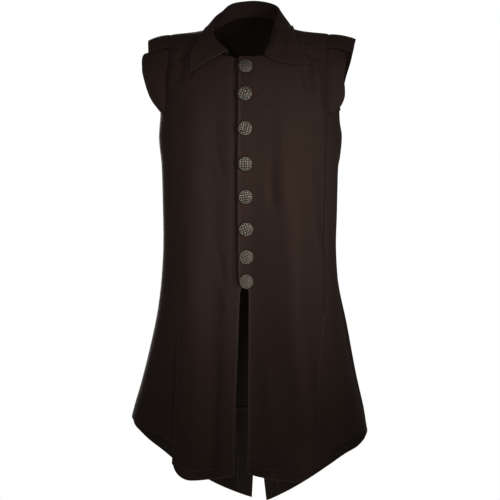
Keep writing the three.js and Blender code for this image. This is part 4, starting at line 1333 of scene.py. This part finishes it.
def stitch_tree():
    tree = bpy.data.node_groups.new("stitch_rows", "GeometryNodeTree")
    for label, kind in (("Geometry", "NodeSocketGeometry"), ("Pitch", "NodeSocketFloat"),
                        ("Length", "NodeSocketFloat"), ("Radius", "NodeSocketFloat"),
                        ("Thread", "NodeSocketMaterial")):
        tree.interface.new_socket(label, in_out="INPUT", socket_type=kind)
    tree.interface.new_socket("Geometry", in_out="OUTPUT", socket_type="NodeSocketGeometry")
    nodes, links = tree.nodes, tree.links
    given, result = nodes.new("NodeGroupInput"), nodes.new("NodeGroupOutput")
    curve = nodes.new("GeometryNodeMeshToCurve")
    resample = add_node(nodes, "GeometryNodeResampleCurve", mode="LENGTH")
    grain = add_node(nodes, "GeometryNodeMeshUVSphere", {"Segments": 6, "Rings": 4, "Radius": 1.0})
    half = add_node(nodes, "ShaderNodeMath", {1: 0.5}, operation="MULTIPLY")
    size = nodes.new("ShaderNodeCombineXYZ")
    scaled = nodes.new("GeometryNodeTransform")
    tangent = nodes.new("GeometryNodeInputTangent")
    turn = add_node(nodes, "FunctionNodeAlignRotationToVector", axis="X")
    place = nodes.new("GeometryNodeInstanceOnPoints")
    realize = nodes.new("GeometryNodeRealizeInstances")
    smooth = nodes.new("GeometryNodeSetShadeSmooth")
    paint = nodes.new("GeometryNodeSetMaterial")
    for source, outlet, target, inlet in (
        (given, "Geometry", curve, "Mesh"), (curve, "Curve", resample, "Curve"),
        (given, "Pitch", resample, "Length"), (given, "Length", half, 0),
        (half, 0, size, "X"), (given, "Radius", size, "Y"), (given, "Radius", size, "Z"),
        (grain, "Mesh", scaled, "Geometry"), (size, "Vector", scaled, "Scale"),
        (resample, "Curve", place, "Points"), (scaled, "Geometry", place, "Instance"),
        (tangent, "Tangent", turn, "Vector"), (turn, "Rotation", place, "Rotation"),
        (place, "Instances", realize, "Geometry"), (realize, "Geometry", smooth, "Geometry"),
        (smooth, "Geometry", paint, "Geometry"), (given, "Thread", paint, "Material"),
        (paint, "Geometry", result, "Geometry"),
    ):
        links.new(source.outputs[outlet], target.inputs[inlet])
    return tree


STITCH_TREE = stitch_tree()
print("stitch tree:", len(STITCH_TREE.nodes), "nodes")

# %% Rows of stitches


def baked(piece, name):
    """The evaluated result of a piece's modifiers as a plain object."""
    graph = bpy.context.evaluated_depsgraph_get()
    mesh = bpy.data.meshes.new_from_object(piece.evaluated_get(graph))
    plain = bpy.data.objects.new(name, mesh)
    bpy.context.collection.objects.link(plain)
    bpy.data.objects.remove(piece)
    return plain


def topstitching(thread):
    rows = STITCH_LINES[thread]
    starts = np.cumsum([0] + [len(row) for row in rows[:-1]])
    edges = [(int(s + k), int(s + k + 1)) for s, row in zip(starts, rows) for k in range(len(row) - 1)]
    mesh = bpy.data.meshes.new("stitch_lines")
    mesh.from_pydata((np.concatenate(rows) * MM).tolist(), edges, [])
    lines = bpy.data.objects.new("stitch_lines", mesh)
    bpy.context.collection.objects.link(lines)
    modifier = lines.modifiers.new("stitches", "NODES")
    modifier.node_group = STITCH_TREE
    values = {"Pitch": STITCH_PITCH, "Length": STITCH_LENGTH, "Radius": STITCH_RADIUS,
              "Thread": THREADS[thread]}
    for item in STITCH_TREE.interface.items_tree:
        if item.item_type == "SOCKET" and item.in_out == "INPUT" and item.name in values:
            modifier[item.identifier] = values[item.name]
    piece = baked(lines, f"topstitching_{thread}")
    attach(piece, "root")
    print(piece.name, "has", len(piece.data.polygons), "faces in", len(rows), "rows")


for thread in THREADS:
    topstitching(thread)

# %% [markdown]
# ## Buttons
# The buttons are cast pewter, domed, with a roped rim and plaited strands in low relief. A bump
# texture could draw the relief, but it would be flat from the side. So it is real height on a
# round grid of points. The height is kept as an attribute, and the metal's colour follows it:
# bare and pale on what rubs, dark in the hollows.

# %% Relief of the buttons
BUTTON_RADIUS = 14.2
BUTTON_X = 1.0  # the row stands a little to the wearer's left of the middle
BUTTON_COUNT, BUTTON_SPIN = 8, 11  # each is sewn on at its own angle, this many degrees on
BUTTON_PLAY = 0.15  # between its foot and the cloth
BUTTON_RINGS, BUTTON_TURNS = 56, 144
RIM_HEIGHT, DOME_RISE = 4.0, 2.3  # of the rim above the foot, and of the dome above the rim
RIM_ROUND, RELIEF = 0.4, 0.75
BUTTON_UNDER = (  # share of the radius and height, from the rim under the disc to the shank
    (1.0, 3.3), (0.985, 2.7), (0.93, 2.2), (0.24, 2.2), (0.22, 0.0),
)
UNDER_TONE, FOOT_TONE = 0.35, 0.3  # the relief's mark there
ROPE_AT, ROPE_WIDTH, ROPE_STRANDS, ROPE_SLANT = 0.9, 0.055, 34, 22
ROPE_MEAN, ROPE_SWING = 0.62, 0.38  # height of the rope, and how deep the grooves are
PLAIT_ENDS = (0.76, 0.84)
STRAND_PITCH, STRAND_WIDTH = 0.46, 0.4
STRAND_MEAN, STRAND_SWING = 0.72, 0.28  # height of a strand, and how far it dives under another


def button_relief(r, turn):
    """Height above the plain dome, 0 to 1, at a share of the radius and an angle."""
    strand = ROPE_MEAN + ROPE_SWING * np.cos(ROPE_STRANDS * turn + ROPE_SLANT * r)
    rope = np.exp(-(((r - ROPE_AT) / ROPE_WIDTH) ** 2)) * strand
    across, up = r * np.cos(turn), r * np.sin(turn)
    inside = 1 - smooth_step(*PLAIT_ENDS, r)
    strands = [np.exp(-((np.sin(math.pi * way / STRAND_PITCH) / STRAND_WIDTH) ** 2)) * inside
               for way in (across + up, across - up)]
    over = STRAND_MEAN + STRAND_SWING * np.sign(np.cos(math.pi * across / STRAND_PITCH * 2))
    plait = np.maximum(strands[0] * over, strands[1] * (2 * STRAND_MEAN - over))
    return np.clip(np.maximum(rope, plait), 0, 1)


def button_points():
    """Points, faces and relief of one button, with its foot at the origin and its face up."""
    r = np.sin(np.linspace(0, 1, BUTTON_RINGS)[1:] * math.pi / 2) ** 1.05
    turn = np.arange(BUTTON_TURNS) * math.tau / BUTTON_TURNS
    rr, tt = np.meshgrid(r, turn, indexing="ij")
    relief = button_relief(rr, tt) * (1 - smooth_step(0.965, 1, rr))
    dome = RIM_HEIGHT + DOME_RISE * (1 - rr ** 2.2) - RIM_ROUND * smooth_step(0.94, 1, rr)
    radius = rr * BUTTON_RADIUS
    discs = [np.stack([radius * np.cos(tt), radius * np.sin(tt), dome + RELIEF * relief], -1)]
    marks = [relief]
    for share, z in BUTTON_UNDER:
        radius = share * BUTTON_RADIUS * np.ones_like(turn)
        discs.append(np.stack([radius * np.cos(turn), radius * np.sin(turn), z + 0 * turn], -1)[None])
        marks.append(np.full((1, BUTTON_TURNS), UNDER_TONE))
    points = np.concatenate(discs).reshape(-1, 3)
    rings = len(points) // BUTTON_TURNS
    grid = np.arange(rings * BUTTON_TURNS).reshape(rings, BUTTON_TURNS)
    ahead = np.roll(grid, -1, axis=1)
    faces = np.stack([grid[:-1], grid[1:], ahead[1:], ahead[:-1]], -1).reshape(-1, 4).tolist()
    crown, foot = len(points), len(points) + 1
    faces += [[crown, int(a), int(b)] for a, b in zip(grid[0], ahead[0])]
    faces += [[foot, int(b), int(a)] for a, b in zip(grid[-1], ahead[-1])]
    points = np.vstack([points, [0, 0, RIM_HEIGHT + DOME_RISE + RELIEF], [0, 0, 0]])
    return points, faces, np.concatenate([np.concatenate(marks).ravel(), [1.0, FOOT_TONE]])


print("a button has", len(button_points()[0]), "points")

# %% Buttons


def button_seat(node):
    """Where a button sits on the cloth, at its plain solid's level, and the way it faces."""
    low, high = (np.array(corner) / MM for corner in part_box(node))
    level = (low[2] + high[2]) / 2
    climb = float(climb_to(level, BUTTON_X)) if level > UNDERARM else level - UNDERARM
    angle = float(angle_at(BUTTON_X, min(climb, 0)))
    point, normal = cloth_and_normals(LEFT, np.array(angle), np.array(climb))
    return point + normal * (CLOTH + SEAM_GAP + BUTTON_PLAY), normal


def buttons():
    points, faces, marks = button_points()
    for number in range(1, BUTTON_COUNT + 1):
        node = f"button_{number}"
        seat, normal = button_seat(node)
        spin = math.radians(BUTTON_SPIN * number)
        side_way = unit(np.cross((0, 0, 1), normal))
        up_way = np.cross(normal, side_way)
        x_way = side_way * math.cos(spin) + up_way * math.sin(spin)
        y_way = np.cross(normal, x_way)
        placed = seat + points @ np.stack([x_way, y_way, normal])
        piece = mesh_object(f"{node}_cast", placed, faces, PEWTER, {"relief": marks})
        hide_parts(node)
        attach(piece, "root")
    print("buttons:", BUTTON_COUNT, "of", len(faces), "faces, the last at", np.round(seat, 1))


buttons()

# %% [markdown]
# ## Camera, floor and light
# The camera stands a little to the wearer's left and a little above the middle, far back with a
# long lens. The key light is close in front on the same side, with a narrow spread, so the
# chest is brighter than the skirt. A fill stands near the camera. A weak light below shows the
# inside of the skirt, a wide one behind shows the back, and one at the wearer's right the side.
# One even dome would be simpler, but dark cloth would lose its folds in it. The world adds a
# little light from all round. It shows white to the camera, and the pale floor lies as far
# below the shoulders as a standing wearer's would.

# %% Camera and lights
CAMERA_DISTANCE, CAMERA_AZIMUTH, CAMERA_ELEVATION = 4.5, 5.5, 3.0
CAMERA_TARGET = Vector((0, 0, -0.44))
SEEN_ACROSS = 1.0  # metres across the frame at the target
SENSOR = 36.0
VIEW_GAMMA = 0.8  # deepens the shadows
LIGHTS = [  # name, azimuth, elevation, distance, size, watts, spread in degrees, aim
    ("key", 39, 1, 1.25, (0.3, 0.6), 1.75, 44, (-0.02, 0, -0.33)),
    ("fill", -6, 17, 1.55, (0.5, 0.5), 1.35, 43, (0, 0, -0.36)),
    ("inside", 0, -60, 0.6, (0.45, 0.25), 1.3, 100, (0, 0.1, -0.78)),
    ("behind", 200, 12, 2.6, (1.4, 1.8), 46, 120, (0, 0, -0.45)),
    ("side", -105, 18, 2.6, (0.8, 1.6), 3, 120, (0, 0, -0.45)),
]


def look_at(thing, place, target):
    thing.location = place
    thing.rotation_euler = (target - place).to_track_quat("-Z", "Y").to_euler()


def on_sphere(distance, azimuth, elevation, centre):
    a, e = math.radians(azimuth), math.radians(elevation)
    way = Vector((math.sin(a) * math.cos(e), -math.cos(a) * math.cos(e), math.sin(e)))
    return centre + distance * way


def add_camera():
    data = bpy.data.cameras.new("camera")
    data.sensor_width = SENSOR
    data.lens = SENSOR * CAMERA_DISTANCE / SEEN_ACROSS
    camera = bpy.data.objects.new("camera", data)
    bpy.context.collection.objects.link(camera)
    place = on_sphere(CAMERA_DISTANCE, CAMERA_AZIMUTH, CAMERA_ELEVATION, CAMERA_TARGET)
    look_at(camera, place, CAMERA_TARGET)
    bpy.context.scene.camera = camera


def add_light(name, azimuth, elevation, distance, size, power, spread, aim):
    data = bpy.data.lights.new(name, "AREA")
    data.shape = "RECTANGLE"
    data.size, data.size_y = size
    data.energy = power
    data.spread = math.radians(spread)
    light = bpy.data.objects.new(name, data)
    bpy.context.collection.objects.link(light)
    aim = Vector(aim)
    look_at(light, on_sphere(distance, azimuth, elevation, aim), aim)


add_camera()
for light in LIGHTS:
    add_light(*light)
print("camera at", [round(v, 2) for v in bpy.context.scene.camera.location], "and", len(LIGHTS), "lights")

# %% Floor and world
WORLD_LIGHT = 0.26
FLOOR_RADIUS, FLOOR_LEVEL = 2.2, -1.45
FLOOR_LOOK = {
    "Base Color": (0.86, 0.85, 0.83, 1),
    "Roughness": 0.9,
    "Emission Color": (1, 0.985, 0.965, 1),
    "Emission Strength": 0.22,
}


def add_floor():
    bpy.ops.mesh.primitive_circle_add(
        vertices=96, radius=FLOOR_RADIUS, fill_type="NGON", location=(0, 0, 0))
    floor = bpy.context.object
    floor.name = "floor"
    for vertex in floor.data.vertices:
        vertex.co.z = FLOOR_LEVEL
    material = new_material("pale_floor")[0]
    set_inputs(material.node_tree.nodes["Principled BSDF"], FLOOR_LOOK)
    floor.data.materials.append(material)


def add_world():
    world = bpy.data.worlds.new("studio")
    bpy.context.scene.world = world
    world.use_nodes = True
    nodes, links = world.node_tree.nodes, world.node_tree.links
    nodes.clear()
    seen = add_node(nodes, "ShaderNodeBackground", {"Color": (1, 1, 1, 1), "Strength": 1.0})
    cast = add_node(nodes, "ShaderNodeBackground", {"Color": (1, 1, 1, 1), "Strength": WORLD_LIGHT})
    ray = nodes.new("ShaderNodeLightPath")
    mix = nodes.new("ShaderNodeMixShader")
    out = nodes.new("ShaderNodeOutputWorld")
    links.new(ray.outputs["Is Camera Ray"], mix.inputs[0])
    links.new(cast.outputs[0], mix.inputs[1])
    links.new(seen.outputs[0], mix.inputs[2])
    links.new(mix.outputs[0], out.inputs[0])


add_floor()
add_world()
bpy.context.scene.view_settings.view_transform = "Standard"
bpy.context.scene.view_settings.gamma = VIEW_GAMMA
print("floor at", FLOOR_LEVEL, "m")
